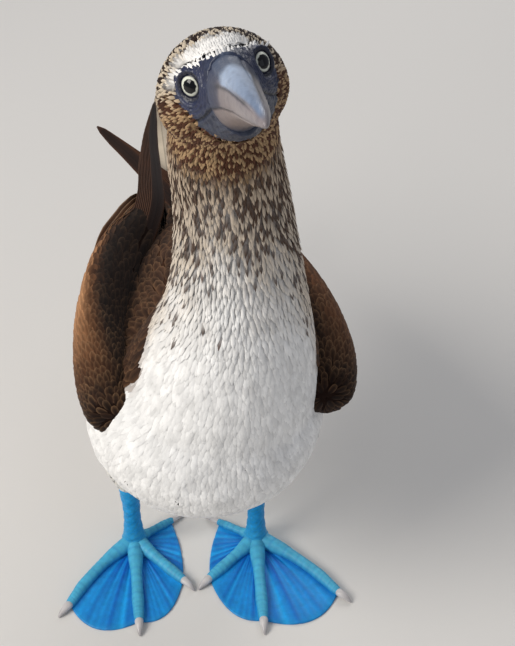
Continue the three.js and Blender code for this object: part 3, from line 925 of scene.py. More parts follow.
def face_paint(local):
    """Slate blue above, greyer on the throat, darker at the back edge and paler over the bill."""
    above = smooth_step(-14, -8, local[:, 2] - 0.1 * local[:, 1])
    colours = blend(THROAT_BLUE, FACE_BLUE, above)
    mottle = smooth_step(-0.2, 0.9, waves(local, 9, 43))
    colours = blend(colours, FACE_DARK, 0.5 * mottle)
    edge = smooth_step(-3.5, 0.5, face_reach(local))
    colours = blend(colours, FACE_DARK, 0.5 * edge * above)
    pale = (1 - smooth_step(0, 7, np.abs(local[:, 0]))) * smooth_step(2, 9, local[:, 2])
    return blend(colours, BILL_BLUE, 0.3 * pale)


def make_bill():
    """Both halves of the bill as one form, with the side grooves and the mouth line."""
    def bump(share, angle):
        groove_at = 0.62 + 0.25 * share
        groove = bell(np.abs(angle_up(angle)) - groove_at, 0.07)
        fine = 0.06 * np.sin(angle * 23 + share * 60) * np.sin(share * 140)
        return -0.55 * groove * (1 - smooth_step(0.72, 0.85, share)) + fine

    points, quads, caps = loft(BILL_ROWS, BILL_SIDES, BILL_RINGS, [1, 0, 0], [0, 0, 1], bump)
    gap = np.abs(points[:, 2] - mouth_height(points[:, 1]))
    line = 1 - smooth_step(0.0, 0.75, gap)
    centre = np.array([0.0, 0.0, -9.5])
    inward = unit(np.stack([-points[:, 0], np.zeros(len(points)), centre[2] - points[:, 2]], axis=1))
    front = smooth_step(-BILL_TIP + 1, -BILL_TIP + 12, points[:, 1])
    points = points + inward * (0.8 * line * front)[:, None]
    colours = bill_paint(points, line)
    nodes = ("bill_upper", "bill_lower")
    faces = [quads, caps]
    dress(make_mesh("bill", from_head(points), faces, colours), "bill", "bill_horn", *nodes)


def angle_up(angle):
    """Angle from the top of the bill, from 0 on the ridge to pi underneath, signed."""
    return (math.pi / 2 - angle + math.pi) % (2 * math.pi) - math.pi


def bill_paint(points, line):
    y = points[:, 1]
    half = np.interp(-y, [10, 24, 42, 62, 82, 100, 117], [9.0, 9.2, 7.2, 5.4, 4.0, 2.6, 1.2])
    edge = half * (1 - 0.25 * smooth_step(-46, -28, y))
    plate = 1 - smooth_step(edge - 1.0, edge + 0.6, np.abs(points[:, 0]))
    upper = smooth_step(-0.4, 0.4, points[:, 2] - mouth_height(y))
    high = smooth_step(-6.0, -2.5, points[:, 2] + 0.06 * (-y - 16))
    ridge = plate * upper * high
    side = blend(BILL_TAUPE, BILL_BLUE, smooth_step(-40, -14, y) * 0.6)
    lower = blend(BILL_LOWER, THROAT_BLUE, smooth_step(-17, -25, points[:, 2]))
    colours = blend(lower, side, upper)
    # The ridge plate: partly the bill's own paler horn, partly a painted highlight along its top.
    pale = blend(BILL_BLUE, BILL_PALE_AND_HIGHLIGHT, smooth_step(-112, -30, y))
    colours = blend(colours, pale, ridge)
    streak = waves(points * np.array([1.0, 0.25, 1.0]), 3.0, 51)
    colours = blend(colours, FACE_BLUE, 0.16 * smooth_step(0.0, 1.0, streak))
    shoulder = y + 0.9 * np.abs(points[:, 0]) + 1.5 * waves(points, 9, 52)
    colours = blend(colours, FACE_BLUE, 0.85 * smooth_step(-38, -24, shoulder) * upper)
    colours = blend(colours, FACE_BLUE, 0.7 * smooth_step(-22, -13, y) * (1 - upper))
    # Painted shade: the bill's left side (+X), away from the key light, is darkened.
    colours = blend(colours, FACE_DARK, 0.3 * smooth_step(0.5, 5, points[:, 0]) * (1 - ridge))
    # Painted shade: a dark line along the side groove, where shade falls in it.
    groove = bell(np.abs(points[:, 0]) - half - 0.3, 0.45) * upper * high
    groove = groove * smooth_step(-104, -90, y) * (1 - smooth_step(-30, -20, shoulder))
    colours = blend(colours, CREASE_SHADE, 0.75 * groove)
    # Painted shade in the mouth line between the two halves of the bill.
    return blend(colours, CREASE_SHADE, 0.95 * line)


def make_eye(name):
    """Wet eyeball with a pale iris, a dark rim and a ragged black pupil."""
    side = SIDE[name]
    way = eye_way(side)
    pupil_way = eye_way(side, EYE_TURN - 6)
    turned = np.array(Vector((0, 0, 1)).rotation_difference(Vector(way)).to_matrix())
    polar = np.linspace(0, math.pi, 141)[1:-1]
    around = np.linspace(0, 2 * math.pi, 160, endpoint=False)
    rings = np.stack([
        np.sin(polar)[:, None] * np.cos(around),
        np.sin(polar)[:, None] * np.sin(around),
        np.cos(polar)[:, None] * np.ones(len(around)),
    ], axis=-1).reshape(-1, 3)
    sphere = np.concatenate([rings, [[0, 0, 1.0], [0, 0, -1.0]]])
    ways = sphere @ turned.T
    angle = np.degrees(np.arccos(np.clip(ways @ way, -1, 1)))
    off = np.degrees(np.arccos(np.clip(ways @ pupil_way, -1, 1)))
    across = np.cross(way, [0.0, 0.0, 1.0])
    turn = np.arctan2(ways[:, 2], ways @ across)
    star = 1.5 * np.abs(np.sin(turn * 5.5 + 0.4)) + 0.7 * np.sin(turn * 9)
    lid = smooth_step(38, 41, angle)
    cornea = 1 + 0.05 * (1 - smooth_step(14, 37, angle)) + lid * (0.03 + 0.014 * np.sin(angle * 1.3))
    fibres = 0.5 + 0.5 * np.sin(turn * 70 + 3 * np.sin(turn * 9))
    iris = blend(IRIS_PALE, IRIS_PALE * 0.72, 0.45 * fibres)
    iris = blend(iris, IRIS_PALE * 0.4, smooth_step(33, 36.5, angle))
    colours = blend(iris, RIM_BLACK, smooth_step(35.5, 37.5, angle))
    colours = blend(colours, RIM_BLACK, 1 - smooth_step(24.5, 26.5, off + star))
    colours = blend(colours, LID_NAVY * (0.8 + 0.3 * np.sin(angle * 1.3))[:, None], 0.85 * lid)
    points = from_head(eye_middle(side) + ways * (EYE_RADIUS * cornea)[:, None])
    quads, caps = tube_faces(len(around), len(polar))
    faces = [quads[:, ::-1], caps[:, ::-1]]
    dress(make_mesh(f"eyeball_{name}", points, faces, colours), "eye", "eye_gloss", f"eye_{name}")


# Wings and tail, in the body's frame. Rows are y, x, z, wide, up, down and lean.

ARM_ROWS = np.array([
    [-37, 58, 204, 0, 0, 0, 0],
    [-30, 61, 203, 18, 17, 19, 0],
    [0, 65, 204, 20.5, 27, 28, 4],
    [40, 66, 204, 18.5, 32, 33, 10],
    [90, 59, 205, 15.5, 29, 34, 20],
    [140, 48, 204, 11, 22, 31, 32],
    [185, 32, 201, 7, 13, 24, 42],
    [215, 22, 198, 4, 8, 15, 46],
    [232, 16, 196, 0, 0, 0, 46],
], dtype=float)
HAND_ROWS = {
    "left": np.array([
        [60, 66, 180, 0, 0, 0, 10],
        [85, 60, 182, 3, 14, 14, 20],
        [140, 42, 190, 3, 12, 14, 35],
        [200, 18, 192, 2, 8, 9, 48],
        [250, -4, 186.5, 1.6, 8, 8, 52],
        [300, -26, 186, 1.5, 8, 7, 52],
        [342, -49, 188, 1.1, 4.5, 4, 52],
        [362, -59, 187, 0, 0, 0, 52],
    ], dtype=float),
    "right": np.array([
        [60, 66, 184, 0, 0, 0, 10],
        [85, 60, 186, 3, 14, 14, 20],
        [140, 42, 194, 3, 12, 14, 35],
        [200, 22, 204, 2, 8, 9, 46],
        [250, 18, 207, 1.6, 8, 8, 40],
        [300, 16, 206, 1.5, 8, 7, 34],
        [350, 11, 204, 1.1, 4.5, 4, 30],
        [372, 8, 203, 0, 0, 0, 30],
    ], dtype=float),
}


class WingPath:
    """A wing's centre line with its section: read at a place along the body."""

    def __init__(self, rows, name):
        self.side = SIDE[name]
        table = rows.copy()
        spread = WING_SPREAD[name] * np.clip(1 - table[:, 0] / 160, 0, 1)
        table[:, 1] = self.side * (table[:, 1] + spread)
        table[:, 6] *= self.side
        self.table = catmull(table, np.linspace(0, 1, 200))
        for column in (3, 4, 5):
            squares = catmull(table[:, [column]] ** 2, np.linspace(0, 1, 200))[:, 0]
            self.table[:, column] = np.sqrt(np.maximum(squares, 0))

    def at(self, y):
        """Centre, way out, way up and section of the wing at distances y along the body."""
        y = np.clip(y, self.table[0, 0], self.table[-1, 0])
        read = [np.interp(y, self.table[:, 0], self.table[:, k]) for k in range(7)]
        centre = np.stack([read[1], read[0], read[2]], axis=-1)
        turn = np.radians(read[6])
        zero = np.zeros_like(turn)
        out = np.stack([self.side * np.cos(turn), zero, -self.side * np.sin(turn)], axis=-1)
        rise = np.stack([np.sin(turn), zero, np.cos(turn)], axis=-1)
        return centre, out, rise, np.stack(read[3:6], axis=-1)

    def skin(self, sides, rings, grow):
        """The wing's smooth form as points, quads and end triangles."""
        shares = (1 - np.cos(np.linspace(0, math.pi, rings + 2)[1:-1])) / 2
        y = self.table[0, 0] + shares * (self.table[-1, 0] - self.table[0, 0])
        centre, out, rise, size = self.at(y)
        angles = np.linspace(0, 2 * math.pi, sides, endpoint=False)
        high = np.where(np.sin(angles) > 0, size[:, 1:2], size[:, 2:3])
        wide = np.maximum(size[:, 0:1] + grow, 0.3) * np.cos(angles)
        tall = np.maximum(high + grow, 0.3) * np.sin(angles)
        points = centre[:, None] + wide[..., None] * out[:, None] + tall[..., None] * rise[:, None]
        ends = self.at(np.array([self.table[0, 0] - grow, self.table[-1, 0]]))[0]
        return np.concatenate([points.reshape(-1, 3), ends]), *tube_faces(sides, rings)


VANE_COLUMNS = 9
VANE_CUP = 0.08


def vane_mesh(centres, across, face, half, thick, paint_at):
    """One long feather: two faces with a shaft, tapered to its edges, closed all round."""
    columns = np.array([-1, -0.86, -0.55, -0.12, 0, 0.12, 0.55, 0.86, 1.0])
    profile = np.array([0.25, 0.6, 0.9, 1.0, 1.0, 1.0, 0.9, 0.6, 0.25])
    shaft = bell(columns, 0.06)
    rows = len(centres)
    level = VANE_CUP * half[:, None] * columns**2
    base = centres[:, None] + across[:, None] * (half[:, None] * columns)[..., None]
    base = base - face[:, None] * level[..., None]
    height = thick[:, None] * profile / 2
    ripple = 0.1 * np.sin(np.arange(rows)[:, None] * 2.4 + np.abs(columns) * 9) * (columns != 0)
    top = base + face[:, None] * (height + 0.45 * shaft * thick[:, None] + ripple)[..., None]
    bottom = base - face[:, None] * (height + 0.2 * shaft * thick[:, None] - ripple)[..., None]
    points = np.concatenate([top.reshape(-1, 3), bottom.reshape(-1, 3)])
    shares = np.linspace(0, 1, rows)
    colours = paint_at(np.repeat(shares, VANE_COLUMNS), np.tile(columns, rows))
    return points, slab_faces(rows, VANE_COLUMNS), np.concatenate([colours, colours])


def gather(parts):
    """Feathers joined into one set of arrays, with a bake patch for each."""
    points = []
    quads = []
    colours = []
    uvs = []
    total = 0
    side = math.ceil(math.sqrt(len(parts)))
    for number, (part, faces, shades) in enumerate(parts):
        points.append(part)
        quads.append(faces + total)
        colours.append(shades)
        cell = np.array([number % side, number // side]) / side
        place = np.arange(len(part))
        rows = len(part) // 2 // VANE_COLUMNS
        column = place % VANE_COLUMNS / (VANE_COLUMNS - 1)
        row = place // VANE_COLUMNS % rows / (rows - 1)
        uvs.append(cell + np.stack([column, row], axis=1) * 0.9 / side)
        total += len(part)
    return np.concatenate(points), np.concatenate(quads), np.concatenate(colours), np.concatenate(uvs)


LONG_SHAPE = np.array([
    [0, 0.42], [0.15, 0.7], [0.45, 1.0], [0.75, 0.97], [0.9, 0.72], [0.97, 0.42], [1, 0.12],
])


def long_half(width, shares):
    """Half width of a long feather at shares of its length."""
    return width / 2 * np.interp(shares, LONG_SHAPE[:, 0], LONG_SHAPE[:, 1])


def long_feather(path, y_from, y_to, rise_from, rise_to, level, width, thick, paint_at, rows=18):
    """A flight feather that runs along a wing's path."""
    shares = np.linspace(0, 1, rows) ** 0.9
    centre, out, rise, _ = path.at(y_from + (y_to - y_from) * shares)
    height = rise_from + (rise_to - rise_from) * shares
    places = centre + rise * height[:, None] + out * np.asarray(level(shares))[:, None]
    half = long_half(width, shares)
    points, quads, colours = vane_mesh(places, rise, out, half, np.full(rows, thick), paint_at)
    return from_body(points), quads, colours


def flight_paint(base, edge, tip_dark, seed):
    """Dark vane, a paler edge, and a darker tip."""
    vary = np.random.default_rng(seed).uniform(0.85, 1.15)

    def paint_at(share, column):
        colours = blend(base * vary, tip_dark, smooth_step(0.5, 1.0, share) * 0.7)
        colours = blend(colours, edge, 0.75 * smooth_step(0.8, 1.0, np.abs(column)))
        colours = blend(colours, edge, 0.5 * smooth_step(0.965, 1.0, share))
        shaft = 1 - smooth_step(0.02, 0.12, np.abs(column))
        return blend(colours, base * 0.35, 0.7 * shaft)

    return paint_at


PRIMARIES = 9
SECONDARIES = 11


def primaries(name):
    """The longest flight feathers, of the hand; the first reaches the wing's tip."""
    path = WingPath(HAND_ROWS[name], name)
    tip = HAND_ROWS[name][-1, 0]
    parts = []
    for i in range(PRIMARIES):
        rank = i / (PRIMARIES - 1)
        colour = flight_paint(WING_DARK * 1.25, WING_BROWN, WING_DARK, 100 + i)
        level = lambda s, rank=rank: (-2.2 + 4.4 * rank) * (1 - 0.45 * s)
        parts.append(long_feather(
            path, 95 + 20 * rank, tip - 1 - 96 * rank, -7 + 12 * rank, -1.5 + 9 * rank,
            level, 15, 0.7, colour, 26))
    return parts


def secondaries(name):
    """The shorter flight feathers, of the arm."""
    path = WingPath(ARM_ROWS, name)
    parts = []
    for i in range(SECONDARIES):
        rank = i / (SECONDARIES - 1)
        colour = flight_paint(WING_BROWN * 0.8, WING_FRINGE * 0.8, WING_DARK, 200 + i)
        level = lambda s, rank=rank: 1.5 + (2.5 - 3.5 * rank) * s + 4.0 * (1 - rank) * (1 - s)
        parts.append(long_feather(
            path, 95 + 14 * rank, 226 - 22 * rank, 18 - 40 * rank, 9 - 30 * rank,
            level, 18, 0.8, colour))
    return parts


def wing_tone(y, angle, name):
    """Base colour of the coverts, with light and shade painted in: lit brown on the right wing's outer face,
    dark as painted shade inside and at the front.
    """
    outer = 0.5 + 0.5 * np.cos(angle - math.radians(20))
    # Painted shade: the side of the wing that faces inward goes dark.
    base = blend(WING_DARK, WING_BROWN, smooth_step(0.42, 0.8, outer))
    # Painted light: the right wing's outer face, toward the key light, gets a lit brown; the left wing keeps
    # plain brown.
    lit = WING_LIT if name == "right" else WING_BROWN
    base = blend(base, lit, smooth_step(0.62, 0.95, outer) * smooth_step(-20, 50, y))
    # Painted shade over the wing's front end, beside the breast.
    return blend(base, WING_DARK, 0.85 * (1 - smooth_step(-34, 6, y)))


# Where the rows of coverts start and end along the arm, and places between which they grow
COVERTS_START = -33.0
COVERTS_END = 196.0
COVERT_PLACES = (COVERTS_START, 20, 90, 200)


def wing_coverts(name, core):
    """Small feathers in staggered rows over the arm: short in front, long behind."""
    path = WingPath(ARM_ROWS, name)
    roots = []
    lengths = []
    turns = []
    places = []
    y = COVERTS_START
    row = 0
    while y < COVERTS_END:
        step = np.interp(y, COVERT_PLACES, [3.2, 4.2, 6.2, 8.5])
        centre, out, rise, size = (value[0] for value in path.at(np.array([y])))
        girth = math.pi * (size[0] + (size[1] + size[2]) / 2)
        spacing = np.interp(y, COVERT_PLACES, [3.2, 4.2, 5.8, 7.0])
        count = max(5, int(girth / spacing))
        angles = (np.arange(count) + 0.5 * (row % 2)) / count * 2 * math.pi
        angles = angles + rng.uniform(-0.28, 0.28, count) * 2 * math.pi / count
        high = np.where(np.sin(angles) > 0, size[1], size[2])
        spot = centre + np.outer(size[0] * np.cos(angles), out) + np.outer(high * np.sin(angles), rise)
        spot[:, 1] += rng.uniform(-0.45, 0.45, count) * step
        roots.append(from_body(spot))
        lengths.append(np.full(count, step * np.interp(y, [COVERTS_START, 60, 200], [2.3, 2.5, 3.0])))
        turns.append(angles)
        places.append(np.full(count, y))
        y += step
        row += 1
    roots = np.concatenate(roots)
    lengths = np.concatenate(lengths) * rng.uniform(1.05, 1.45, len(roots))
    turns = np.concatenate(turns)
    places = np.concatenate(places)
    width = np.interp(places, COVERT_PLACES, [3.9, 4.8, 6.6, 8.5]) * rng.uniform(0.85, 1.15, len(roots))
    base = wing_tone(places, turns, name)
    base *= rng.uniform(0.8, 1.15, len(roots))[:, None]
    ahead = path.at(places + 12)[0] - path.at(places)[0]
    lie = unit(from_body(ahead) - from_body(np.zeros_like(ahead)))
    sink = unit(lie + np.array([0.0, 0.0, -0.1]))
    lift = np.full(len(roots), 0.6) * rng.uniform(0.7, 1.3, len(roots))
    ahead_end = 1 - smooth_step(0, 70, places)
    fringe = blend(base, WING_FRINGE, rng.uniform(0.02, 0.12, len(roots)) * (1 + 1.8 * ahead_end))
    around = 0.01 + 0.97 * (turns / (2 * math.pi) % 1)
    patches = np.stack([around, 0.04 + 0.94 * (places + 40) / 260], axis=1)
    parts = lay_scales(core, roots, sink, lengths, width, lift, base, fringe, patches)
    scale_piece(f"wing_{name}_coverts", parts, "wing_brown")
    wing_front(name, core, path)


def wing_front(name, core, path):
    """Smallest coverts over the rounded front end of the wing, laid out from its middle."""
    def keep(places):
        return (into_body(places)[:, 1] < -29).astype(float)

    roots = core.scattered(lambda places: np.full(len(places), 3.0), keep)
    pole = from_body(path.at(np.array([-46.0]))[0])
    lie = unit(unit(roots - pole) + np.array([0.0, 0.5, 0.0]))
    count = len(roots)
    # Painted shade: the front end of the wing lies in shade beside the breast, so these coverts are dark.
    base = WING_DARK * 1.2 * rng.uniform(0.7, 1.3, count)[:, None]
    fringe = blend(base, WING_FRINGE, rng.uniform(0.05, 0.3, count))
    spot = (into_body(roots)[:, [0, 2]] - into_body(pole)[:, [0, 2]]) / 60
    patches = 0.5 + np.clip(spot, -0.48, 0.48)
    options = (np.full(count, 8.0), np.full(count, 4.6), np.full(count, 0.9))
    parts = lay_scales(core, roots, lie, *options, base, fringe, patches)
    scale_piece(f"wing_{name}_front", parts, "wing_dark")


def scale_piece(name, parts, slot):
    points, quads, colours, uv, normals = parts
    dress(make_mesh(name, points, [quads], colours, uv=uv, normals=normals), "feather", slot)


def lay_scales(surface, roots, lie, length, width, lift, base, fringe, patches):
    """Broad round-ended feathers with a pale fringe, closed, laid on a surface."""
    steps = np.array([0.0, 0.35, 0.7, 0.9, 1.0])
    widths = np.array([0.5, 0.95, 1.0, 0.72, 0.3])
    levels = np.array([-0.3, 0.3, 0.8, 0.95, 1.0])
    columns = np.array([-1.0, -0.6, 0.0, 0.6, 1.0])
    paleness = np.array([0.0, 0.0, 0.12, 0.6, 1.0])
    edge_pale = np.array([0.8, 0.12, 0.0, 0.12, 0.8])
    tops = []
    bottoms = []
    shades = []
    uvs = []
    turns = []
    thick = 0.24
    last = len(steps) - 1
    for k, spots, normals, way, across in march(surface, roots, lie, length, steps):
        centre = spots + normals * (lift * levels[k])[:, None]
        half = (width / 2 * widths[k])[:, None, None]
        dome = 0.07 * (1 - columns**2)
        line = centre[:, None] + across[:, None] * half * columns[:, None]
        line = line + normals[:, None] * (width[:, None] * dome)[..., None]
        slim = thick * (1 - 0.6 * np.abs(columns)) * (1.0 if k < last else 0.5)
        tops.append(line + normals[:, None] * slim[:, None] / 2)
        bottoms.append(line - normals[:, None] * slim[:, None] / 2)
        pale = np.clip(paleness[k] + edge_pale * (steps[k] > 0.2), 0, 1)
        shade = base[:, None] * (1 - pale[:, None]) + fringe[:, None] * pale[:, None]
        shade = shade * (1 - 0.35 * (np.abs(columns) < 0.1))[:, None] * (0.7 if k == 0 else 1.0)
        shades.append(shade)
        offset = np.stack([columns * 0.5, np.full(len(columns), steps[k])], axis=1) * TUFT_PATCH
        uvs.append(patches[:, None] + offset)
        aside = across[:, None] * (0.45 * columns**3)[:, None]
        turns.append(normals[:, None] + aside + way[:, None] * 0.3 * (k == last))
    points = np.concatenate([*tops, *bottoms], axis=1)
    colours = np.concatenate([*shades, *shades], axis=1)
    uv = np.concatenate([*uvs, *uvs], axis=1)
    turns = unit(np.concatenate([*turns, *turns], axis=1).reshape(-1, 3))
    size = points.shape[1]
    one = slab_faces(len(steps), len(columns))
    quads = (np.arange(len(roots))[:, None, None] * size + one).reshape(-1, 4)
    return points.reshape(-1, 3), quads, colours.reshape(-1, 3), uv.reshape(-1, 2), turns


CORE_SIDES = 48
CORE_RINGS = 60
COVERT_DEPTH = 1.4


def make_wing(name):
    """Core of the arm, flight feathers behind it and coverts over it."""
    path = WingPath(ARM_ROWS, name)
    points, quads, caps = path.skin(CORE_SIDES, CORE_RINGS, -COVERT_DEPTH)
    points = from_body(points)
    if name == "left":
        quads = quads[:, ::-1]
        caps = caps[:, ::-1]
    thing = make_mesh(f"wing_{name}_core", points, [quads, caps], WING_DARK)
    dress(thing, "under_coat", "wing_dark", f"wing_{name}")
    wing_coverts(name, Surface(points, quads))
    points, quads, colours, uv = gather(primaries(name) + secondaries(name))
    if name == "left":
        quads = quads[:, ::-1]
    thing = make_mesh(f"wing_{name}_quills", points, [quads], colours, uv=uv)
    dress(thing, "quill", "wing_dark")


def tail_lift(y):
    return 168 + 0.0006 * (y - 196) ** 2


def tail_feather(out, y, level, width, shares, colour):
    """A feather that lies across the tail's rise, out from its middle line."""
    across = np.tile([1.0, 0.0, 0.0], (len(shares), 1))
    centres = np.stack([out, y, tail_lift(y) + level], axis=1)
    face = unit(np.cross(across, unit(np.gradient(centres, axis=0))))
    thick = np.full(len(shares), 0.7)
    points, quads, colours = vane_mesh(centres, across, face, long_half(width, shares), thick, colour)
    return from_body(points), quads, colours


def make_tail():
    """Six pairs of tail feathers, the middle pair longest, with short coverts at the root."""
    parts = []
    shares = np.linspace(0, 1, 24) ** 0.9
    for pair in range(6):
        for side in (1.0, -1.0):
            length = 203 - 19 * pair
            y = 198 + length * shares
            out = side * (2.0 + 2.5 * pair) * (0.85 + 0.45 * np.sin(shares * math.pi * 0.62))
            out = out * (1 - 0.06 * pair * smooth_step(0.85, 1, shares))
            level = 2.2 - 0.95 * pair - (0.35 if side > 0 else 0.0)
            base = blend(TAIL_PALE, TAIL_BROWN, smooth_step(0.5, 4, pair))
            colour = flight_paint(base, TAIL_PALE, TAIL_BROWN * 0.8, 300 + pair)
            parts.append(tail_feather(out, y, level, 14.4, shares, colour))
    for i, x in enumerate((-15, -10, -5, 0, 5, 10, 15, -12, -6, 6, 12)):
        y = 196 + (64 - 1.2 * abs(x)) * shares + 6 * (i > 6)
        lift = 3.4 + 0.5 * (i % 3) - 0.02 * x * x
        out = x * (1 + 0.25 * shares)
        colour = flight_paint(TAIL_BROWN * 0.8, WING_FRINGE * 0.7, WING_DARK, 400 + i)
        parts.append(tail_feather(out, y, lift, 12.0, shares, colour))
    points, quads, colours, uv = gather(parts)
    dress(make_mesh("tail_feathers", points, [quads], colours, uv=uv), "quill", "tail_brown", "tail")


# Feet: toes, webs, shank and claws. Toe angles turn from straight ahead toward the left side.

FEET = {
    "right": {"at": (-50.5, 20.6), "toes": {
        "outer": (-35.7, 88.0, -5.0), "middle": (7.1, 88.5, 0.0),
        "inner": (46.4, 68.5, 0.0), "hind": (126.5, 47.5, 0.0)}},
    "left": {"at": (45.8, 22.7), "toes": {
        "outer": (50.3, 94.0, 5.0), "middle": (4.3, 89.0, 0.0),
        "inner": (-42.4, 65.5, 0.0), "hind": (-119.6, 47.0, 0.0)}},
}
WEB_FULLNESS = (0.7, 0.7, 0.6)

WEB_BRIGHT = tone("#189ee6")
WEB_DEEP = tone("#075fb8")
TOE_PALE = tone("#4db0d2")
TOE_BLUE = tone("#258fc2")
CLAW_PALE = tone("#c9c5c4")
CLAW_DARK = tone("#6e6a70")


FLOOR_GAP = 0.02
TOE_SIDES = 30
TOE_RINGS = 110
WEB_ROWS = 60
WEB_COLUMNS = 90


def above_floor(points):
    """Points lifted where they would reach the floor."""
    points[:, 2] = np.maximum(points[:, 2], FLOOR_GAP)
    return points


def toe_way(toe):
    angle = math.radians(toe[0])
    return np.array([math.sin(angle), -math.cos(angle), 0.0])


def turned(points, toe, at):
    """Points of a toe that runs toward -Y, turned to its angle and set at its joint."""
    turn = np.array(Matrix.Rotation(math.radians(toe[0]), 3, "Z"))
    return points @ turn.T + np.array([at[0], at[1], 0.0])


def toe_part(toe, at):
    """A toe with its scutes on top and two knuckles."""
    _, length, bow = toe
    end = length - CLAW_LENGTH
    thick = 0.72 if length < 60 else 1.0
    rows = [[-9, 4, 0, 0, 0], [0, 5, 6.8, 7.2, 7], [end * 0.35, 3.8, 4.7, 4.7, 5],
            [end * 0.7, 3.4, 4.3, 4, 4.6], [end * 0.94, 3.2, 3.9, 3.4, 4.4], [end + 3, 3, 0, 0, 0]]
    table = [[bow * math.sin(math.pi * min(max(a, 0), end) / end), -a, z, w * thick, u * thick, d * thick]
             for a, z, w, u, d in rows]
    scutes = end / 2.6

    def bump(share, angle):
        top = smooth_step(-0.1, 0.5, np.sin(angle))
        plate = np.abs(np.sin(share * scutes * math.pi)) ** 0.6
        knuckle = bell(share - 0.36, 0.05) + bell(share - 0.64, 0.05)
        side = 0.12 * np.sin(angle * 14 + share * 9) * np.sin(share * scutes * 6)
        uneven = 0.75 + 0.25 * np.sin(share * 37 + angle * 3)
        return 0.3 * (plate - 0.6) * top * uneven + 0.5 * knuckle * (1 - 0.4 * top) + side

    points, quads, caps = loft(table, TOE_SIDES, TOE_RINGS, [1, 0, 0], [0, 0, 1], bump)
    plate = np.abs(np.sin(np.linspace(0, 1, TOE_RINGS) * scutes * math.pi))
    seam = np.concatenate([np.repeat(1 - plate, TOE_SIDES), [0, 0]])
    # Painted light: each toe is paler on its upper half, as if lit from above.
    high = smooth_step(1.5, 7.5, points[:, 2])
    colours = blend(TOE_BLUE, TOE_PALE, high)
    colours = blend(colours, WEB_DEEP, 0.3 * seam**2)
    return above_floor(turned(points, toe, at)), quads, caps, colours


def web_part(foot, number):
    """Web between two neighbouring toes, with folds that radiate from the joint."""
    names = ("outer", "middle", "inner", "hind")
    first = foot["toes"][names[number]]
    second = foot["toes"][names[number + 1]]
    tips = [toe_way(toe) * (toe[1] - CLAW_LENGTH - 1.2) for toe in (first, second)]
    control = (tips[0] + tips[1]) * WEB_FULLNESS[number]
    t = np.linspace(0, 1, WEB_COLUMNS)[None, :, None]
    s = np.linspace(0.02, 1, WEB_ROWS)[:, None, None]
    edge = (1 - t) ** 2 * tips[0] + 2 * t * (1 - t) * control + t**2 * tips[1]
    points = edge * s
    out = np.array([-toe_way(first)[1], toe_way(first)[0], 0.0])
    points = points + out * (first[2] * np.sin(math.pi * s)) * (1 - t) ** 2
    across = t[..., 0]
    out_share = s[..., 0]
    folds = np.zeros((WEB_ROWS, WEB_COLUMNS))
    local = np.random.default_rng(70 + number)
    for _ in range(9):
        rate = local.uniform(12, 60)
        folds += np.sin(across * rate + local.uniform(0, 6) + 1.4 * out_share * local.normal()) / 9**0.5
    cross = 0.25 * np.sin(out_share * 60 + 2.5 * np.sin(across * 9)) * out_share ** 2
    slack = smooth_step(0.0, 0.25, across) * (1 - smooth_step(0.75, 1.0, across))
    near_toe = 1 - smooth_step(0.0, 0.13, np.minimum(across, 1 - across))
    top = 1.75 + 0.34 * folds * slack + 0.2 * cross * slack + 0.9 * near_toe * (1 - 0.5 * out_share)
    top = top - 0.5 * smooth_step(0.95, 1.0, out_share)
    upper = points.copy()
    upper[..., 2] = top
    lower = points.copy()
    lower[..., 2] = np.maximum(top - 1.3, 0.15)
    shade = 0.45 + 0.28 * folds + 0.35 * smooth_step(0.25, 0.9, 1 - out_share) - 0.25 * near_toe
    colours = blend(WEB_BRIGHT, WEB_DEEP, np.clip(shade, 0, 1))
    pale = 0.35 * smooth_step(0.93, 1.0, out_share) * np.ones_like(across)
    colours = blend(colours, TOE_BLUE, pale)
    grid = np.concatenate([upper.reshape(-1, 3), lower.reshape(-1, 3)])
    grid = grid + np.array([foot["at"][0], foot["at"][1], 0.0])
    rows = WEB_ROWS
    columns = WEB_COLUMNS
    a = (np.arange(rows - 1)[:, None] * columns + np.arange(columns - 1)).ravel()
    face = np.stack([a, a + columns, a + columns + 1, a + 1], axis=1)
    off = rows * columns
    edge_loop = np.concatenate([
        np.arange(columns - 1), np.arange(rows - 1) * columns + columns - 1,
        (rows - 1) * columns + np.arange(columns - 1, 0, -1), np.arange(rows - 1, 0, -1) * columns])
    following = np.roll(edge_loop, -1)
    wall = np.stack([edge_loop, following, following + off, edge_loop + off], axis=1)
    quads = np.concatenate([face, face[:, ::-1] + off, wall])
    return grid, quads, np.zeros((0, 3), dtype=int), np.concatenate([colours.reshape(-1, 3)] * 2)


def shank_part(at):
    """The bare leg from ankle to feathers, with its fine rings and the folds over the ankle."""
    rows = [[0, 0, 2, 0, 0, 0], [0, 0, 7, 9, 9, 8], [0, -0.5, 15, 8, 8, 7.5], [0, 0.5, 30, 6.6, 6.6, 6.6],
            [0, 1.5, 46, 6.8, 7, 7], [0, 2.5, KNEE_HEIGHT, 8, 8, 8], [0, 3, KNEE_HEIGHT + 10, 0, 0, 0]]

    def bump(share, angle):
        rings = np.sin(share * 62 + 1.2 * np.sin(angle * 2) + 0.5 * np.sin(angle * 5))
        folds = np.sin(share * 95 + 2 * np.sin(angle * 3)) * bell(share - 0.2, 0.08)
        cells = 0.16 * np.sin(angle * 9) * np.sin(share * 130)
        return 0.2 * rings + 0.5 * folds + cells

    points, quads, caps = loft(rows, 44, 110, [1, 0, 0], [0, 1, 0], bump)
    cells = 0.5 + 0.5 * waves(points, 3.5, 61)
    colours = blend(TOE_BLUE, WEB_BRIGHT, 0.7 * cells)
    colours = blend(colours, TOE_PALE, 0.35 * smooth_step(30, 10, points[:, 2]))
    return above_floor(points + np.array([at[0], at[1], 0.0])), quads, caps, colours


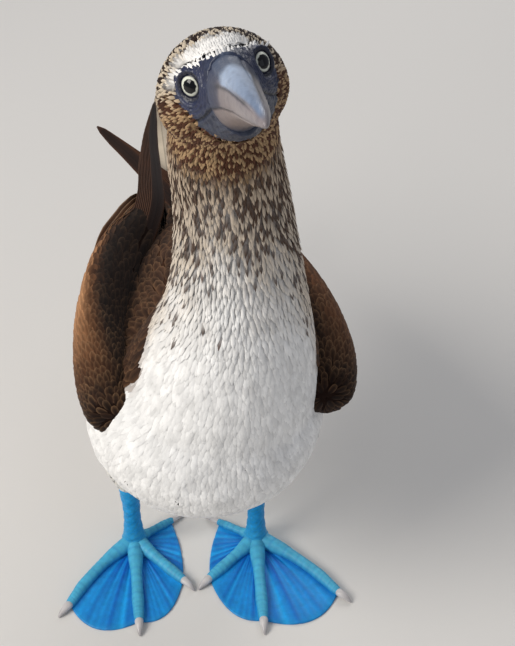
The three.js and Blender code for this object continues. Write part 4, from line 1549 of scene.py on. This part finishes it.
def claw_part(toe, at):
    """Claw at a toe's end, darker toward its tip."""
    start = toe[1] - CLAW_LENGTH
    thick = 0.75 if toe[1] < 60 else 1.0
    rows = [[-3, 4, 0, 0, 0], [0.15, 4, 3.2, 2.6, 3], [4, 4, 2.8, 2.3, 2.8],
            [9, 2.8, 1.7, 1.5, 1.8], [CLAW_LENGTH, 1.2, 0, 0, 0]]
    table = [[0, -(start + a), z * thick, w * thick, u * thick, d * thick] for a, z, w, u, d in rows]
    points, quads, caps = loft(table, 20, 34, [1, 0, 0], [0, 0, 1])
    forward = smooth_step(start + 4, start + CLAW_LENGTH, -points[:, 1])
    colours = blend(CLAW_PALE, CLAW_DARK, 0.45 * forward)
    return above_floor(turned(points, toe, at)), quads, caps, colours


def merged(parts):
    """Several closed parts as one set of arrays, each turned so that its faces look out."""
    points, quads, triangles, colours = [], [], [], []
    total = 0
    for part, part_quads, part_triangles, shades in parts:
        if inside_out(part, part_quads):
            part_quads = part_quads[:, ::-1]
            part_triangles = part_triangles[:, ::-1]
        points.append(part)
        quads.append(part_quads + total)
        triangles.append(part_triangles + total)
        colours.append(shades)
        total += len(part)
    faces = [np.concatenate(quads), np.concatenate(triangles)]
    return np.concatenate(points), faces, np.concatenate(colours)


def inside_out(points, quads):
    """True where the faces of a closed form look inward."""
    middle = points.mean(axis=0)
    a, b, c, d = (points[quads[:, k]] - middle for k in range(4))
    volume = (a * np.cross(b, c)).sum() + (a * np.cross(c, d)).sum()
    return volume < 0


def make_foot(name):
    """One piece for toes, webs and shank, and one for the four claws."""
    foot = FEET[name]
    at = foot["at"]
    toes = foot["toes"]
    flesh = [toe_part(toe, at) for toe in toes.values()]
    flesh += [web_part(foot, number) for number in range(3)]
    flesh.append(shank_part(at))
    points, faces, colours = merged(flesh)
    nodes = (f"foot_{name}", f"tarsus_{name}")
    dress(make_mesh(f"webbed_foot_{name}", points, faces, colours), "foot", "foot_skin", *nodes)
    points, faces, colours = merged([claw_part(toe, at) for toe in toes.values()])
    nodes = tuple(f"claw_{name}_{toe}" for toe in toes)
    dress(make_mesh(f"claws_{name}", points, faces, colours), "claw", "claw_horn", *nodes)


# Stage: floor, light and camera


def make_floor():
    size = 3000.0
    corners = np.array([[-size, -size, 0], [size, -size, 0], [size, size, 0], [-size, size, 0]])
    floor = make_mesh("floor", corners - SHIFT, [np.array([[0, 1, 2, 3]])], smooth=False)
    material, shader = new_material("pale_floor", 0.85)
    shader.inputs["Base Color"].default_value = (0.72, 0.70, 0.67, 1.0)
    floor.data.materials.append(material)


def add_light(name, place, size, power, colour):
    lamp = bpy.data.lights.new(name, "AREA")
    lamp.size = size
    lamp.energy = power
    lamp.color = colour
    thing = bpy.data.objects.new(name, lamp)
    thing.location = place
    aim = Vector((0.0, -0.05, 0.25)) - Vector(place)
    thing.rotation_euler = aim.to_track_quat("-Z", "Y").to_euler()
    bpy.context.scene.collection.objects.link(thing)


def make_lights():
    """A large key light from the bird's right, a weak fill, a light from behind and a pale world."""
    add_light("key", (-1.6, -0.9, 1.6), 1.2, 44.0, (1.0, 0.96, 0.9))
    add_light("fill", (1.5, -1.2, 1.0), 1.6, 3.0, (0.88, 0.93, 1.0))
    add_light("back", (0.4, 1.6, 1.5), 1.2, 13.0, (1.0, 0.98, 0.95))
    world = bpy.data.worlds.new("studio")
    world.use_nodes = True
    world.node_tree.nodes["Background"].inputs["Color"].default_value = (0.86, 0.9, 1.0, 1.0)
    world.node_tree.nodes["Background"].inputs["Strength"].default_value = 0.3
    bpy.context.scene.world = world


def make_camera():
    bpy.context.scene.view_settings.view_transform = "Standard"
    data = bpy.data.cameras.new("camera")
    data.sensor_width = 36.0
    data.lens = FOCAL_PIXELS / PHOTO_HEIGHT * data.sensor_width
    data.clip_start = 0.05
    camera = bpy.data.objects.new("camera", data)
    camera.location = Vector((CAMERA_AT + SHIFT) * MM)
    camera.rotation_euler = Euler((math.radians(CAMERA_TILT), 0.0, 0.0))
    bpy.context.scene.collection.objects.link(camera)
    bpy.context.scene.camera = camera


make_camera()
make_floor()
make_lights()
skin = coat_skin()
face = make_face()
grow_coat(skin, face)
make_bill()
make_eye("right")
make_eye("left")
make_wing("right")
make_wing("left")
make_tail()
make_foot("right")
make_foot("left")
